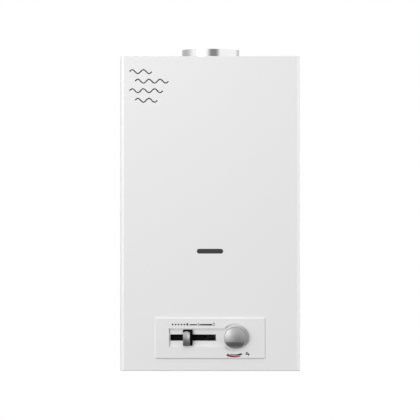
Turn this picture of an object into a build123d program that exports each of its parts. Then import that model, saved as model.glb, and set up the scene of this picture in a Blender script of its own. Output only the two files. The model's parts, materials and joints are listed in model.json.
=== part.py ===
from build123d import *

import math
import os

# Wall-hung tankless gas water heater, in millimetres.
# X runs to the viewer's right, +Z is up and the wall is the plane Y = 0, with the front facing -Y.
# The origin is the middle of the four wall holes, on the wall.
# Names that end in _out are distances from the wall towards the viewer, so out = -Y.

os.makedirs("parts", exist_ok=True)

# Driving dimensions: case
case_width = 340.0
case_height = 594.0
case_depth = 140.0
sheet = 0.8  # case sheet steel
edge_radius = 8.0  # outside bend of the cover's two upright edges
seat_gap = 0.3  # clearance between pieces that seat on each other
wall_gap = 1.0  # the cover's rear edge stops this far from the wall
pan_flange = 26.0  # turned-up edge of the back plate
pan_corner = 4.0
cover_lip = 12.0  # return flange under the cover
lip_bend = 1.6  # outside bend where the cover turns under
floor_rise = 22.0  # floor plate above the cover's lower edge

# Driving dimensions: wall holes and stiffening beads of the back plate
wall_hole_diameter = 10.0
wall_hole_across = 220.0
wall_hole_inset = 47.0  # wall holes from the case's top and bottom
bead_width = 12.0
bead_height = 2.0
bead_inset = 97.0  # beads from the case's top and bottom
bead_across = 150.0

# Driving dimensions: pan-head screws
screw_diameter = 4.0
screw_head_diameter = 8.0
screw_head_height = 2.2
screw_head_draft = 15.0
screw_reach = 6.0  # thread beyond the sheets that it holds
hole_gap = 0.1  # radial clearance of a screw or a tube in its hole
cover_screw_out = 13.0
cover_screw_up = 380.0

# Driving dimensions: flue collar and draught hood
flue_edge = 15.0  # case depth left in front of the flue and behind it
collar_sheet = 1.0
collar_rise = 15.5  # collar above the cover's top
collar_step = 1.0  # stop bead that the flue pipe lands on
collar_flange = 4.0
notch_gap = 1.0
hood_drop = 8.0  # hood top below the cover's top sheet
hood_sheet = 0.8
hood_margin = 1.5
hood_top_width = 150.0
hood_skirt = 30.0
relief_width = 130.0  # draught relief opening in the skirt
relief_margin = 6.0

# Driving dimensions: heat cell
side_room = 56.0  # beside the chamber, for the bends and the water pipes
chamber_height = 214.0
chamber_corner = 8.0
chamber_flange = 6.0
copper_sheet = 0.8
rear_room = 16.0  # behind the chamber, for the coil
front_room = 25.0  # in front of the chamber, for the coil and the manifold
coil_diameter = 12.0
bend_gap = 2.0  # shortest straight between two pipe bends
coil_rise = 70.0  # coil above the chamber's lower edge
tube_diameter = 16.0  # finned tube
tube_stub = 5.0  # tube outside the chamber wall
pass_share = 0.25  # pitch of the tube passes, of the chamber's depth
fin_count = 8
fin_thickness = 0.6
fin_height = 46.0
fin_drop = 6.0  # fins below the chamber's top
fin_inset = 10.0  # outermost fin from the chamber's side
hot_diameter = 14.0
hot_bend = 16.0
hot_jog = 35.0  # height over which the hot pipe moves over to its nipple

# Driving dimensions: window and burner
window_width = 50.0
window_height = 9.0
window_rise = 226.0  # above the cover's lower edge
glass_margin = 6.0
glass_thickness = 2.0
retainer_margin = 8.0
flame_gap = 13.0  # burner rim below the middle of the window
burner_wall = 1.5
rail_width = 10.0
rail_thickness = 2.0
bar_margin = 5.0  # room left beside the row of bars
bar_pitch = 18.0
bar_thickness = 10.0
bar_sheet = 0.8
deck_height = 16.0
deck_drop = 2.0  # deck below the burner rim
flame_slot_width = 3.0
venturi_drop = 40.0
venturi_height = 14.0
return_width = 26.0
mouth_flare = 2.0
mouth_thickness = 3.0
mouth_bore = 9.0
injector_diameter = 8.0
injector_length = 7.0
injector_gap = 3.0
manifold_depth = 12.0
manifold_height = 16.0
manifold_lug = 8.0
lug_gap = 1.0  # between the lugs and the end mouths
manifold_lug_sheet = 3.0

# Driving dimensions: electrodes
electrode_across = 80.0
electrode_diameter = 6.0
electrode_length = 22.0
electrode_inside = 10.0
electrode_collar = 9.0
electrode_collar_height = 3.0
electrode_pin_diameter = 2.0
electrode_pin_reach = 12.0
electrode_tip_gap = 4.0
electrode_sheet = 1.0
electrode_notch_height = 22.0
electrode_margin = 8.0
electrode_overlap = 1.0  # plate past the opening, above and below

# Driving dimensions: control panel
panel_width = 208.0
panel_height = 77.0
panel_foot = 23.5  # panel's lower edge above the cover's lower edge
panel_proud = 2.5
panel_corner = 3.0
panel_edge = 2.0  # rounding of the panel's front edge
panel_lip = 4.0
panel_wall = 2.0
skirt_depth = 9.0
hook_width = 14.0
hook_height = 1.6
hook_thickness = 2.0
hook_across = 150.0
control_lift = 1.0  # slot and dial axis above the middle of the panel
recess_depth = 3.5
recess_height = 34.4
recess_margin = 2.4
dial_well_diameter = 53.0
slot_length = 86.0
slot_height = 12.0
slot_offset = -32.0
knob_offset = 47.0

# Driving dimensions: slider and gas cock drive
slider_rest = -10.0  # where the slider stands, from the slot's middle
slider_width = 18.0
slider_height = 30.5
slider_plate = 3.0
neck_width = 14.0
neck_height = 7.4
grip_width = 12.8
grip_side = 0.4  # grip inside the left edge of its plate
grip_height = 28.0
grip_shift = 1.0  # grip below the middle of its plate
grip_rise = 12.0
grip_edge_rise = 7.0
grip_edge = 1.2
grip_top_corner = 3.5
slider_corner = 1.5
guide_thickness = 6.5
guide_margin = 5.0
gear_module = 2.0
cock_teeth = 30
pressure_angle = 20.0
addendum_share = 0.9  # of the module
dedendum_share = 1.25
mesh_angle = -90.0  # the rack lies straight below the cock's axis
backlash = 0.25
rack_thickness = 6.0
rack_pitch_rise = 6.0  # rack pitch line above the slot axis
rack_bar_height = 10.0
sector_thickness = 5.0
sector_hub_diameter = 18.0
cock_shaft_diameter = 8.0
cock_engagement = 20.0
running_gap = 0.05

# Driving dimensions: temperature knob
knob_diameter = 41.5
knob_draft = 1.5
knob_rise = 20.0
knob_dome = 46.0  # radius of the domed front
knob_ridge_drop = 7.5  # grip ridge below the dial axis
knob_bottom_rise = 7.0
knob_scoop_rise = 0.22  # middle of the scooped lower face, of its rise and of its height
knob_scoop_drop = 0.38
knob_edge = 1.4
knob_bore_depth = 11.0
spindle_diameter = 8.0
spindle_engagement = 20.0

# Driving dimensions: gas valve, water valve and their link
valve_setback = 65.0  # valve axes behind the cover's front
cast_draft = 3.0
gas_valve_width = 52.0
gas_valve_height = 52.0
gas_valve_depth = 50.0
gas_valve_corner = 6.0
cock_boss_diameter = 28.0
cock_boss_length = 10.0
gas_inlet_boss_diameter = 26.0
gas_inlet_boss_height = 8.0
riser_out_shift = 10.0
riser_boss_diameter = 22.0
riser_boss_height = 6.0
riser_diameter = 12.0
riser_bend_share = 0.45  # bend radius, of the riser's height
solenoid_diameter = 28.0
solenoid_length = 26.0
solenoid_cap_diameter = 20.0
solenoid_cap_length = 5.0
solenoid_cap_draft = 10.0
gland_diameter = 18.0
gland_length = 6.0
link_gap = 24.0  # rod in the open between gas gland and water boss
rod_diameter = 6.0
rod_engagement = 16.0
rod_travel = 3.5
rod_plate_diameter = 30.0
rod_plate_thickness = 2.0
rod_plate_gap = 1.0
flag_thickness = 2.0
flag_width = 8.0
flag_place = 13.0  # flag from the gas gland
cover_boss_diameter = 22.0
cover_boss_length = 5.0
cover_boss_draft = 8.0
cover_thickness = 9.0
diaphragm_flange_diameter = 70.0
diaphragm_flange_thickness = 9.0
diaphragm_diameter = 50.0
diaphragm_thickness = 1.2
water_body_width = 32.0
water_body_depth = 46.0
water_body_corner = 6.0
water_body_above = 26.0
water_body_below = 60.0
spindle_boss_diameter = 22.0
spindle_boss_length = 8.0
feed_boss_diameter = 22.0
feed_boss_length = 6.0

# Driving dimensions: flow switch
switch_bracket_sheet = 1.5
switch_bracket_width = 18.0
switch_shelf_rise = 17.0  # shelf top above the rod axis
switch_width = 11.0
switch_depth = 14.0
switch_height = 12.0
switch_corner = 1.0
switch_inset = 4.0  # switch body from the gas valve's face
plunger_diameter = 3.0
plunger_length = 8.0

# Driving dimensions: pipe nipples
nipple_thread_diameter = 20.955
nipple_chamfer = 1.0
nipple_short = 2.0  # nipple end above the cover's lower edge
nipple_hex = 27.0
nipple_hex_height = 5.0
nipple_stem_diameter = 18.0
nipple_bore = 14.0
lock_nut_hex = 27.0
lock_nut_height = 6.0
stem_hole_gap = 0.5
hot_nipple_offset = -100.0
hot_stem_length = 6.0
vent_slot_length = 34.0
vent_slot_width = 5.0
vent_slot_count = 9
vent_slot_pitch = 14.0

# Driving dimensions: thermostat and brackets of the heat cell
clip_sheet = 1.2
clip_height = 12.0
thermostat_diameter = 15.0
thermostat_height = 7.0
terminal_sheet = 0.8
terminal_width = 6.0
terminal_length = 7.0
strap_width = 104.0
strap_foot = 16.0
strap_height = 20.0
strap_sheet = 1.5
strap_rise = 24.0

# Driving dimensions: igniter and battery box
igniter_width = 58.0
igniter_height = 70.0
igniter_depth = 28.0
igniter_corner = 4.0
igniter_side = 40.0  # middle of the module from the case's left side
igniter_rise = 142.0
igniter_ear = 12.0
igniter_ear_thickness = 3.0
igniter_socket_diameter = 9.0
igniter_socket_height = 8.0
igniter_socket_across = 26.0
igniter_socket_draft = 4.0
cell_diameter = 33.2
cell_length = 60.0
cell_button_diameter = 9.5
cell_button_height = 1.5
cell_gap = 0.8
battery_wall = 2.0
battery_corner = 3.0
battery_flange = 4.0
battery_side = 36.0  # middle of the box from the case's right side
battery_out = 70.0
battery_collar = 4.0  # collar of the box below the floor plate
contact_thickness = 0.6
contact_width = 12.0
door_thickness = 2.0
door_ear_width = 5.0
door_ear_reach = 5.0
door_pin_diameter = 3.0
door_ear_across = 24.0

# Places worked out from the sizes
half_width = case_width / 2
top_z = case_height / 2
bottom_z = -case_height / 2
flue_out = case_depth / 2
pan_width = case_width - 2 * (sheet + seat_gap)
pan_height = case_height - 2 * (sheet + seat_gap)
pan_inner = pan_width / 2 - sheet
wall_hole_up = case_height - 2 * wall_hole_inset
bead_length = case_height - 2 * bead_inset
floor_z = bottom_z + floor_rise
floor_top = floor_z + sheet
window_z = bottom_z + window_rise
panel_z = bottom_z + panel_foot + panel_height / 2
control_z = panel_z + control_lift
screw_hole = screw_diameter / 2 + hole_gap
valve_out = case_depth - valve_setback

chamber_width = case_width - 2 * side_room
chamber_back_out = sheet + rear_room
chamber_front_out = case_depth - sheet - front_room
chamber_depth = chamber_front_out - chamber_back_out
cell_out = (chamber_front_out + chamber_back_out) / 2
burner_top = window_z - flame_gap
chamber_top = burner_top + chamber_height
hood_top = top_z - sheet - hood_drop
fin_top = chamber_top - fin_drop
fin_z = fin_top - fin_height / 2

collar_radius = flue_out - flue_edge
collar_bore = collar_radius - collar_sheet
collar_step_radius = collar_radius + collar_step
collar_flange_radius = collar_step_radius + collar_flange
notch_radius = collar_step_radius + notch_gap
hood_top_depth = 2 * (collar_flange_radius + hood_margin)


def front(out):
    """Plane parallel to the wall, facing the viewer, with local X across and local Y up."""
    return Plane.XZ.offset(out)


def save(builder, name):
    """Labels a finished piece and writes it under its node name."""
    builder.part.label = name
    export_step(builder.part, f"parts/{name}.step")


def frame_ring(outer_x, outer_y, corner, wall):
    """Rounded rectangular ring centred on the heat cell, in a plan sketch."""
    with Locations((0, -cell_out)):
        RectangleRounded(outer_x, outer_y, corner)
        RectangleRounded(outer_x - 2 * wall, outer_y - 2 * wall, corner - wall, mode=Mode.SUBTRACT)


def flue_notch():
    """Keyhole that lets the case slide over the collar from the front, in a plan sketch."""
    with Locations((0, -flue_out)):
        Circle(notch_radius)
        Rectangle(2 * notch_radius, flue_out, align=(Align.CENTER, Align.MIN))


def round_run(edges, radius):
    """Round bar along lines and arcs: each line is extruded and each arc is turned about its own axis."""
    for edge in edges:
        with BuildSketch(Plane(origin=edge @ 0, z_dir=edge % 0)) as section:
            Circle(radius)
        if edge.geom_type == GeomType.LINE:
            extrude(section.sketch, amount=edge.length)
        else:
            turn_axis = Axis(edge.arc_center, (edge % 0).cross(edge % 0.5))
            revolve(section.sketch, axis=turn_axis, revolution_arc=math.degrees(edge.length / edge.radius))


def bent_route(points, bend):
    """Edges of a path of straight runs joined by tangent arcs."""
    with BuildLine() as route:
        FilletPolyline(*points, radius=bend)
    return route.wire().order_edges()


# Front cover: one folded sheet, bent round the two upright edges, lipped below and notched for the flue
with BuildPart() as front_cover:
    with BuildSketch(Plane.XY.offset(bottom_z)) as wrap:
        with Locations((0, -(case_depth + wall_gap) / 2)):
            Rectangle(case_width, case_depth - wall_gap)
        fillet(wrap.vertices().group_by(Axis.Y)[0], edge_radius)
    extrude(amount=case_height)
    lower_edges = front_cover.edges().group_by(Axis.Z)[0]
    fillet(lower_edges.filter_by_position(Axis.Y, -case_depth, -case_depth / 4), lip_bend)
    with BuildSketch(Plane.XY.offset(bottom_z + sheet)) as hollow:
        with Locations((0, -(case_depth - sheet) / 2)):
            Rectangle(case_width - 2 * sheet, case_depth - sheet)
        fillet(hollow.vertices().group_by(Axis.Y)[0], edge_radius - sheet)
    extrude(amount=case_height - 2 * sheet, mode=Mode.SUBTRACT)
    with BuildSketch(Plane.XY.offset(bottom_z)):
        with Locations((0, -(case_depth - cover_lip) / 2)):
            Rectangle(case_width - 2 * cover_lip, case_depth - cover_lip)
    extrude(amount=sheet, mode=Mode.SUBTRACT)
    with BuildSketch(Plane.XY.offset(top_z)):
        flue_notch()
    extrude(amount=-sheet, mode=Mode.SUBTRACT)
    with BuildSketch(front(case_depth)):
        with Locations((0, window_z)):
            SlotOverall(window_width, window_height)
        with Locations((0, panel_z)):
            RectangleRounded(panel_width - 2 * panel_lip, panel_height - 2 * panel_lip, panel_corner)
    extrude(amount=-sheet, mode=Mode.SUBTRACT)
    with Locations((0, -cover_screw_out, cover_screw_up / 2), (0, -cover_screw_out, -cover_screw_up / 2)):
        Cylinder(screw_hole, case_width, rotation=(0, 90, 0), mode=Mode.SUBTRACT)
save(front_cover, "front_cover")

# Back plate: shallow pan against the wall, with wall holes and two pressed beads
with BuildPart() as back_plate:
    with BuildSketch(Plane.XZ):
        RectangleRounded(pan_width, pan_height, pan_corner)
    extrude(amount=pan_flange)
    with BuildSketch(front(sheet)):
        RectangleRounded(pan_width - 2 * sheet, pan_height - 2 * sheet, pan_corner - sheet)
    extrude(amount=pan_flange, mode=Mode.SUBTRACT)
    with BuildSketch(front(sheet)):
        with GridLocations(bead_across, 0, 2, 1):
            SlotOverall(bead_length, bead_width, rotation=90)
    extrude(amount=bead_height)
    with BuildSketch(Plane.XZ):
        with GridLocations(bead_across, 0, 2, 1):
            SlotOverall(bead_length - 2 * sheet, bead_width - 2 * sheet, rotation=90)
    extrude(amount=bead_height, mode=Mode.SUBTRACT)
    with BuildSketch(Plane.XZ):
        with GridLocations(wall_hole_across, wall_hole_up, 2, 2):
            Circle(wall_hole_diameter / 2)
    extrude(amount=sheet, mode=Mode.SUBTRACT)
    with BuildSketch(Plane.XY.offset(pan_height / 2)):
        with Locations((0, -flue_out)):
            Circle(notch_radius)
    extrude(amount=-sheet, mode=Mode.SUBTRACT)
    with Locations((0, -cover_screw_out, cover_screw_up / 2), (0, -cover_screw_out, -cover_screw_up / 2)):
        Cylinder(screw_hole, case_width, rotation=(0, 90, 0), mode=Mode.SUBTRACT)
save(back_plate, "back_plate")

# Cover screws: two on each side, through the cover into the pan's flange
side_planes = [
    Plane(origin=(side * half_width, -cover_screw_out, up * cover_screw_up / 2), z_dir=(side, 0, 0))
    for side in (-1, 1)
    for up in (-1, 1)
]
with BuildPart() as cover_screws:
    with BuildSketch(*side_planes):
        Circle(screw_head_diameter / 2)
    extrude(amount=screw_head_height, taper=screw_head_draft)
    with BuildSketch(*side_planes):
        Circle(screw_diameter / 2)
    extrude(amount=-(2 * sheet + seat_gap + screw_reach))
save(cover_screws, "cover_screws")

# Flue collar: short spigot with a stop bead, flanged onto the hood
with BuildPart() as flue_collar:
    with BuildSketch(Plane.XZ.offset(flue_out)):
        with BuildLine():
            Polyline(
                (collar_bore, hood_top),
                (collar_flange_radius, hood_top),
                (collar_flange_radius, hood_top + collar_sheet),
                (collar_step_radius, hood_top + collar_sheet),
                (collar_step_radius, top_z),
                (collar_radius, top_z + collar_step),
                (collar_radius, top_z + collar_rise),
                (collar_bore, top_z + collar_rise),
                close=True,
            )
        make_face()
    revolve(axis=Axis((0, -flue_out, 0), (0, 0, 1)))
save(flue_collar, "flue_collar")

# Draught hood: skirt over the heat cell, drawn in across and out in depth up to the flue plate
skirt_top = chamber_top + hood_skirt
with BuildPart() as draught_hood:
    for inset, lid in ((0, 0), (hood_sheet, hood_sheet)):
        mode = Mode.SUBTRACT if inset else Mode.ADD
        skirt_size = (chamber_width - 2 * inset, chamber_depth - 2 * inset)
        top_size = (hood_top_width - 2 * inset, hood_top_depth - 2 * inset)
        with BuildSketch(Plane.XY.offset(chamber_top)):
            with Locations((0, -cell_out)):
                RectangleRounded(*skirt_size, chamber_corner - inset)
        extrude(amount=hood_skirt, mode=mode)
        with BuildSketch(Plane.XY.offset(skirt_top)):
            with Locations((0, -cell_out)):
                RectangleRounded(*skirt_size, chamber_corner - inset)
        with BuildSketch(Plane.XY.offset(hood_top - lid)):
            with Locations((0, -flue_out)):
                RectangleRounded(*top_size, chamber_corner - inset)
        loft(ruled=True, mode=mode)
    with BuildSketch(Plane.XY.offset(hood_top)):
        with Locations((0, -flue_out)):
            Circle(collar_bore)
    extrude(amount=-hood_sheet, mode=Mode.SUBTRACT)
    with BuildSketch(Plane.XY.offset(chamber_top)):
        frame_ring(
            chamber_width + 2 * chamber_flange,
            chamber_depth + 2 * chamber_flange,
            chamber_corner + chamber_flange,
            chamber_flange + hood_sheet,
        )
    extrude(amount=hood_sheet)
    with BuildSketch(front(chamber_front_out)):
        with Locations((0, chamber_top + hood_skirt / 2)):
            SlotOverall(relief_width, hood_skirt - 2 * relief_margin)
    extrude(amount=-hood_sheet, mode=Mode.SUBTRACT)
save(draught_hood, "draught_hood")

# Finned heat exchanger: tube passes through the chamber, joined by bends outside its walls
tube_radius = tube_diameter / 2
coil_radius = coil_diameter / 2
coil_bend = chamber_corner + seat_gap + coil_radius
coil_x = chamber_width / 2 + seat_gap + coil_radius
coil_front_out = chamber_front_out + seat_gap + coil_radius
coil_back_out = chamber_back_out - seat_gap - coil_radius
coil_z = burner_top + coil_rise
tube_end = chamber_width / 2 + tube_stub
tube_pitch = pass_share * chamber_depth
pass_outs = [cell_out - tube_pitch, cell_out, cell_out + tube_pitch]
with BuildLine() as serpentine:
    right_in = Line((tube_end, -pass_outs[0], fin_z), (-tube_end, -pass_outs[0], fin_z))
    left_bend = ThreePointArc(
        right_in @ 1,
        (-tube_end - tube_pitch / 2, -(pass_outs[0] + pass_outs[1]) / 2, fin_z),
        (-tube_end, -pass_outs[1], fin_z),
    )
    back_over = Line(left_bend @ 1, (tube_end, -pass_outs[1], fin_z))
    right_bend = ThreePointArc(
        back_over @ 1,
        (tube_end + tube_pitch / 2, -(pass_outs[1] + pass_outs[2]) / 2, fin_z),
        (tube_end, -pass_outs[2], fin_z),
    )
    Line(right_bend @ 1, (-tube_end, -pass_outs[2], fin_z))
with BuildPart() as exchanger_tube:
    round_run(serpentine.wire().order_edges(), tube_radius)
save(exchanger_tube, "exchanger_tube")

# Fin plates: a pack of thin sheets threaded on the tube passes
fin_depth = chamber_depth - 2 * (copper_sheet + seat_gap)
fin_span = chamber_width / 2 - fin_inset
fin_places = [fin_span * (2 * n / (fin_count - 1) - 1) for n in range(fin_count)]
with BuildPart() as fin_plates:
    with BuildSketch(*(Plane.YZ.offset(x - fin_thickness / 2) for x in fin_places)):
        with Locations((-cell_out, fin_z)):
            Rectangle(fin_depth, fin_height)
        with Locations(*((-out, fin_z) for out in pass_outs)):
            Circle(tube_radius + hole_gap, mode=Mode.SUBTRACT)
    extrude(amount=fin_thickness)
save(fin_plates, "fin_plates")

# Combustion chamber: rounded copper duct from the burner to the hood, with tube holes and a flame opening
electrode_notch_width = electrode_across + electrode_collar
with BuildPart() as combustion_chamber:
    with BuildSketch(Plane.XY.offset(burner_top)):
        frame_ring(chamber_width, chamber_depth, chamber_corner, copper_sheet)
    extrude(amount=chamber_height)
    with BuildSketch(Plane.XY.offset(chamber_top)):
        frame_ring(
            chamber_width + 2 * chamber_flange,
            chamber_depth + 2 * chamber_flange,
            chamber_corner + chamber_flange,
            chamber_flange + copper_sheet,
        )
    extrude(amount=-copper_sheet)
    with Locations(*((0, -out, fin_z) for out in pass_outs)):
        Cylinder(tube_radius + hole_gap, chamber_width, rotation=(0, 90, 0), mode=Mode.SUBTRACT)
    with BuildSketch(front(chamber_front_out)):
        with Locations((0, window_z)):
            SlotOverall(electrode_notch_width, electrode_notch_height)
    extrude(amount=-copper_sheet, mode=Mode.SUBTRACT)
save(combustion_chamber, "combustion_chamber")

# Burner frame: ring under the chamber with two rails that carry the bars
burner_bottom = burner_top - deck_drop - deck_height - rail_thickness
deck_front_out = chamber_front_out - burner_wall - seat_gap
deck_back_out = chamber_back_out + burner_wall + seat_gap
rail_length = chamber_width - 2 * chamber_corner
with BuildPart() as burner_frame:
    with BuildSketch(Plane.XY.offset(burner_bottom)):
        frame_ring(chamber_width, chamber_depth, chamber_corner, burner_wall)
    extrude(amount=burner_top - burner_bottom)
    with BuildSketch(Plane.XY.offset(burner_bottom)):
        with Locations((0, -(chamber_front_out - burner_wall))):
            Rectangle(rail_length, rail_width, align=(Align.CENTER, Align.MIN))
        with Locations((0, -(chamber_back_out + burner_wall))):
            Rectangle(rail_length, rail_width, align=(Align.CENTER, Align.MAX))
    extrude(amount=rail_thickness)
save(burner_frame, "burner_frame")

# Burner bars: flame deck on top, a return at the back and a venturi tube running forward below it
deck_top = burner_top - deck_drop
deck_bottom = deck_top - deck_height
bar_bottom = deck_bottom - venturi_drop
venturi_z = bar_bottom + venturi_height / 2
bar_count = math.floor((chamber_width - 2 * bar_margin) / bar_pitch)
bar_places = [bar_pitch * (n - (bar_count - 1) / 2) for n in range(bar_count)]
return_back_out = deck_back_out + rail_width + seat_gap
mouth_width = bar_thickness + 2 * mouth_flare
mouth_height = venturi_height + 2 * mouth_flare
bar_outline = [
    (-deck_front_out, deck_top),
    (-deck_back_out, deck_top),
    (-deck_back_out, deck_bottom),
    (-return_back_out, deck_bottom),
    (-return_back_out, bar_bottom),
    (-deck_front_out, bar_bottom),
    (-deck_front_out, bar_bottom + venturi_height),
    (-(return_back_out + return_width), bar_bottom + venturi_height),
    (-(return_back_out + return_width), deck_bottom),
    (-deck_front_out, deck_bottom),
]
with BuildPart() as burner_bars:
    with BuildSketch(*(Plane.YZ.offset(x - bar_thickness / 2) for x in bar_places)):
        with BuildLine():
            Polyline(*bar_outline, close=True)
        make_face()
    extrude(amount=bar_thickness)
    with BuildSketch(*(Plane.YZ.offset(x - bar_thickness / 2 + bar_sheet) for x in bar_places)):
        with BuildLine():
            Polyline(*bar_outline, close=True)
        make_face()
        offset(amount=-bar_sheet, mode=Mode.REPLACE)
    extrude(amount=bar_thickness - 2 * bar_sheet, mode=Mode.SUBTRACT)
    with BuildSketch(front(deck_front_out)):
        with Locations(*((x, venturi_z) for x in bar_places)):
            Rectangle(mouth_width, mouth_height)
    extrude(amount=mouth_thickness)
    with BuildSketch(front(deck_front_out + mouth_thickness)):
        with Locations(*((x, venturi_z) for x in bar_places)):
            Circle(mouth_bore / 2)
    extrude(amount=-(mouth_thickness + bar_sheet), mode=Mode.SUBTRACT)
    with BuildSketch(Plane.XY.offset(deck_top)):
        with Locations(*((x, -cell_out) for x in bar_places)):
            Rectangle(flame_slot_width, deck_front_out - deck_back_out - bar_thickness)
    extrude(amount=-bar_sheet, mode=Mode.SUBTRACT)
save(burner_bars, "burner_bars")

# Injectors: brass nozzles on the manifold, one in front of each venturi
mouth_out = deck_front_out + mouth_thickness
manifold_back_out = mouth_out + injector_gap + injector_length
manifold_mid_out = manifold_back_out + manifold_depth / 2
manifold_bottom = venturi_z - manifold_height / 2
lug_inner = bar_places[-1] + mouth_width / 2 + lug_gap
lug_outer = lug_inner + manifold_lug
with BuildPart() as injectors:
    with BuildSketch(front(manifold_back_out)):
        with Locations(*((x, venturi_z) for x in bar_places)):
            RegularPolygon(injector_diameter / 2, 6)
    extrude(amount=-injector_length / 2)
    with BuildSketch(front(manifold_back_out - injector_length / 2)):
        with Locations(*((x, venturi_z) for x in bar_places)):
            Circle(injector_diameter / 4)
    extrude(amount=-injector_length / 2)
save(injectors, "injectors")

# Electrode plate: cover over the flame opening, with a sight slot and two ceramic holes
plate_front_out = chamber_front_out + electrode_sheet
electrode_places = [-electrode_across / 2, electrode_across / 2]
with BuildPart() as electrode_plate:
    with BuildSketch(front(chamber_front_out)):
        with Locations((0, window_z)):
            RectangleRounded(
                electrode_notch_width + 2 * electrode_margin,
                electrode_notch_height + 2 * electrode_overlap,
                electrode_margin / 2,
            )
            SlotOverall(window_width, window_height, mode=Mode.SUBTRACT)
        with Locations(*((x, window_z) for x in electrode_places)):
            Circle(electrode_diameter / 2 + hole_gap, mode=Mode.SUBTRACT)
    extrude(amount=electrode_sheet)
save(electrode_plate, "electrode_plate")

# Electrodes: ceramic rods with a seating collar, one for the spark and one for the flame signal
ceramic_inner_out = plate_front_out - electrode_inside
for name, x in zip(("spark_electrode", "flame_electrode"), electrode_places):
    with BuildPart() as electrode:
        with BuildSketch(front(ceramic_inner_out)):
            with Locations((x, window_z)):
                Circle(electrode_diameter / 2)
        extrude(amount=electrode_length)
        with BuildSketch(front(plate_front_out)):
            with Locations((x, window_z)):
                Circle(electrode_collar / 2)
        extrude(amount=electrode_collar_height)
    save(electrode, name)

# Electrode pins: bent steel wires from the ceramics down towards the flame decks
pin_knee_out = ceramic_inner_out - electrode_pin_reach
pin_tip_z = deck_top + electrode_tip_gap
pin_routes = [
    bent_route(
        [
            (x, -ceramic_inner_out, window_z),
            (x, -pin_knee_out, window_z),
            (x, -pin_knee_out, pin_tip_z),
        ],
        2 * electrode_pin_diameter,
    )
    for x in electrode_places
]
with BuildPart() as electrode_pins:
    for pin_route in pin_routes:
        round_run(pin_route, electrode_pin_diameter / 2)
save(electrode_pins, "electrode_pins")

# Window: heat-proof pane behind the slot in the cover, held by a hat-shaped retainer
inner_front_out = case_depth - sheet
pane_width = window_width + 2 * glass_margin
pane_height = window_height + 2 * glass_margin
with BuildPart() as window_glass:
    with BuildSketch(front(inner_front_out)):
        with Locations((0, window_z)):
            RectangleRounded(pane_width, pane_height, glass_margin / 2)
    extrude(amount=-glass_thickness)
save(window_glass, "window_glass")

with BuildPart() as window_retainer:
    with BuildSketch(front(inner_front_out)):
        with Locations((0, window_z)):
            RectangleRounded(pane_width + 2 * retainer_margin, pane_height + retainer_margin, glass_margin)
    extrude(amount=-(glass_thickness + sheet))
    with BuildSketch(front(inner_front_out)):
        with Locations((0, window_z)):
            RectangleRounded(pane_width + 2 * hole_gap, pane_height + 2 * hole_gap, glass_margin / 2)
    extrude(amount=-glass_thickness, mode=Mode.SUBTRACT)
    with BuildSketch(front(inner_front_out - glass_thickness)):
        with Locations((0, window_z)):
            SlotOverall(window_width + glass_margin, window_height + glass_margin)
    extrude(amount=-sheet, mode=Mode.SUBTRACT)
save(window_retainer, "window_retainer")

# Control panel: moulded face plate with one recess, a slider trough running into a round dial well
slot_x = slot_offset
knob_x = knob_offset
recess_floor_out = case_depth + panel_proud - recess_depth
panel_back_out = recess_floor_out - panel_wall
trough_left = slot_x - slot_length / 2 - recess_margin
skirt_width = panel_width - 2 * (panel_lip + seat_gap)
skirt_height = panel_height - 2 * (panel_lip + seat_gap)
spindle_radius = spindle_diameter / 2


def recess_outline(grow):
    """Trough and dial well in one outline, grown by a wall thickness, in a front sketch."""
    with Locations((trough_left - grow, control_z)):
        Rectangle(knob_x - trough_left + grow, recess_height + 2 * grow, align=(Align.MIN, Align.CENTER))
    with Locations((knob_x, control_z)):
        Circle(dial_well_diameter / 2 + grow)


with BuildPart() as control_panel:
    with BuildSketch(front(case_depth)):
        with Locations((0, panel_z)):
            RectangleRounded(panel_width, panel_height, panel_corner)
    extrude(amount=panel_proud)
    rim = control_panel.faces().sort_by(Axis.Y)[0].edges()
    fillet(rim, panel_edge)
    with BuildSketch(front(case_depth - skirt_depth)):
        with Locations((0, panel_z)):
            RectangleRounded(skirt_width, skirt_height, panel_corner)
            RectangleRounded(
                skirt_width - 2 * panel_wall,
                skirt_height - 2 * panel_wall,
                panel_corner - panel_wall / 2,
                mode=Mode.SUBTRACT,
            )
    extrude(amount=skirt_depth)
    with BuildSketch(front(panel_back_out)):
        recess_outline(panel_wall)
    extrude(amount=case_depth - panel_back_out)
    with BuildSketch(front(recess_floor_out)):
        recess_outline(0)
    extrude(amount=recess_depth, mode=Mode.SUBTRACT)
    with BuildSketch(front(panel_back_out)):
        with Locations((slot_x, control_z)):
            Rectangle(slot_length, slot_height)
        with Locations((knob_x, control_z)):
            Circle(spindle_radius + seat_gap)
    extrude(amount=panel_wall, mode=Mode.SUBTRACT)
    with BuildSketch(front(inner_front_out - seat_gap)):
        with Locations((0, panel_z)):
            with GridLocations(hook_across, skirt_height + hook_height, 2, 2):
                Rectangle(hook_width, hook_height)
    extrude(amount=-hook_thickness)
save(control_panel, "control_panel")

# Slide guide: black plate behind the trough floor, with the slot that the slider's neck runs in
guide_slot_height = neck_height + 2 * seat_gap
guide_back_out = panel_back_out - guide_thickness
with BuildPart() as slide_guide:
    with BuildSketch(front(guide_back_out)):
        with Locations((slot_x, control_z)):
            RectangleRounded(
                slot_length + 2 * guide_margin,
                slot_height + 2 * guide_margin,
                guide_margin / 2,
            )
            Rectangle(slot_length, guide_slot_height, mode=Mode.SUBTRACT)
    extrude(amount=guide_thickness)
save(slide_guide, "slide_guide")

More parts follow.
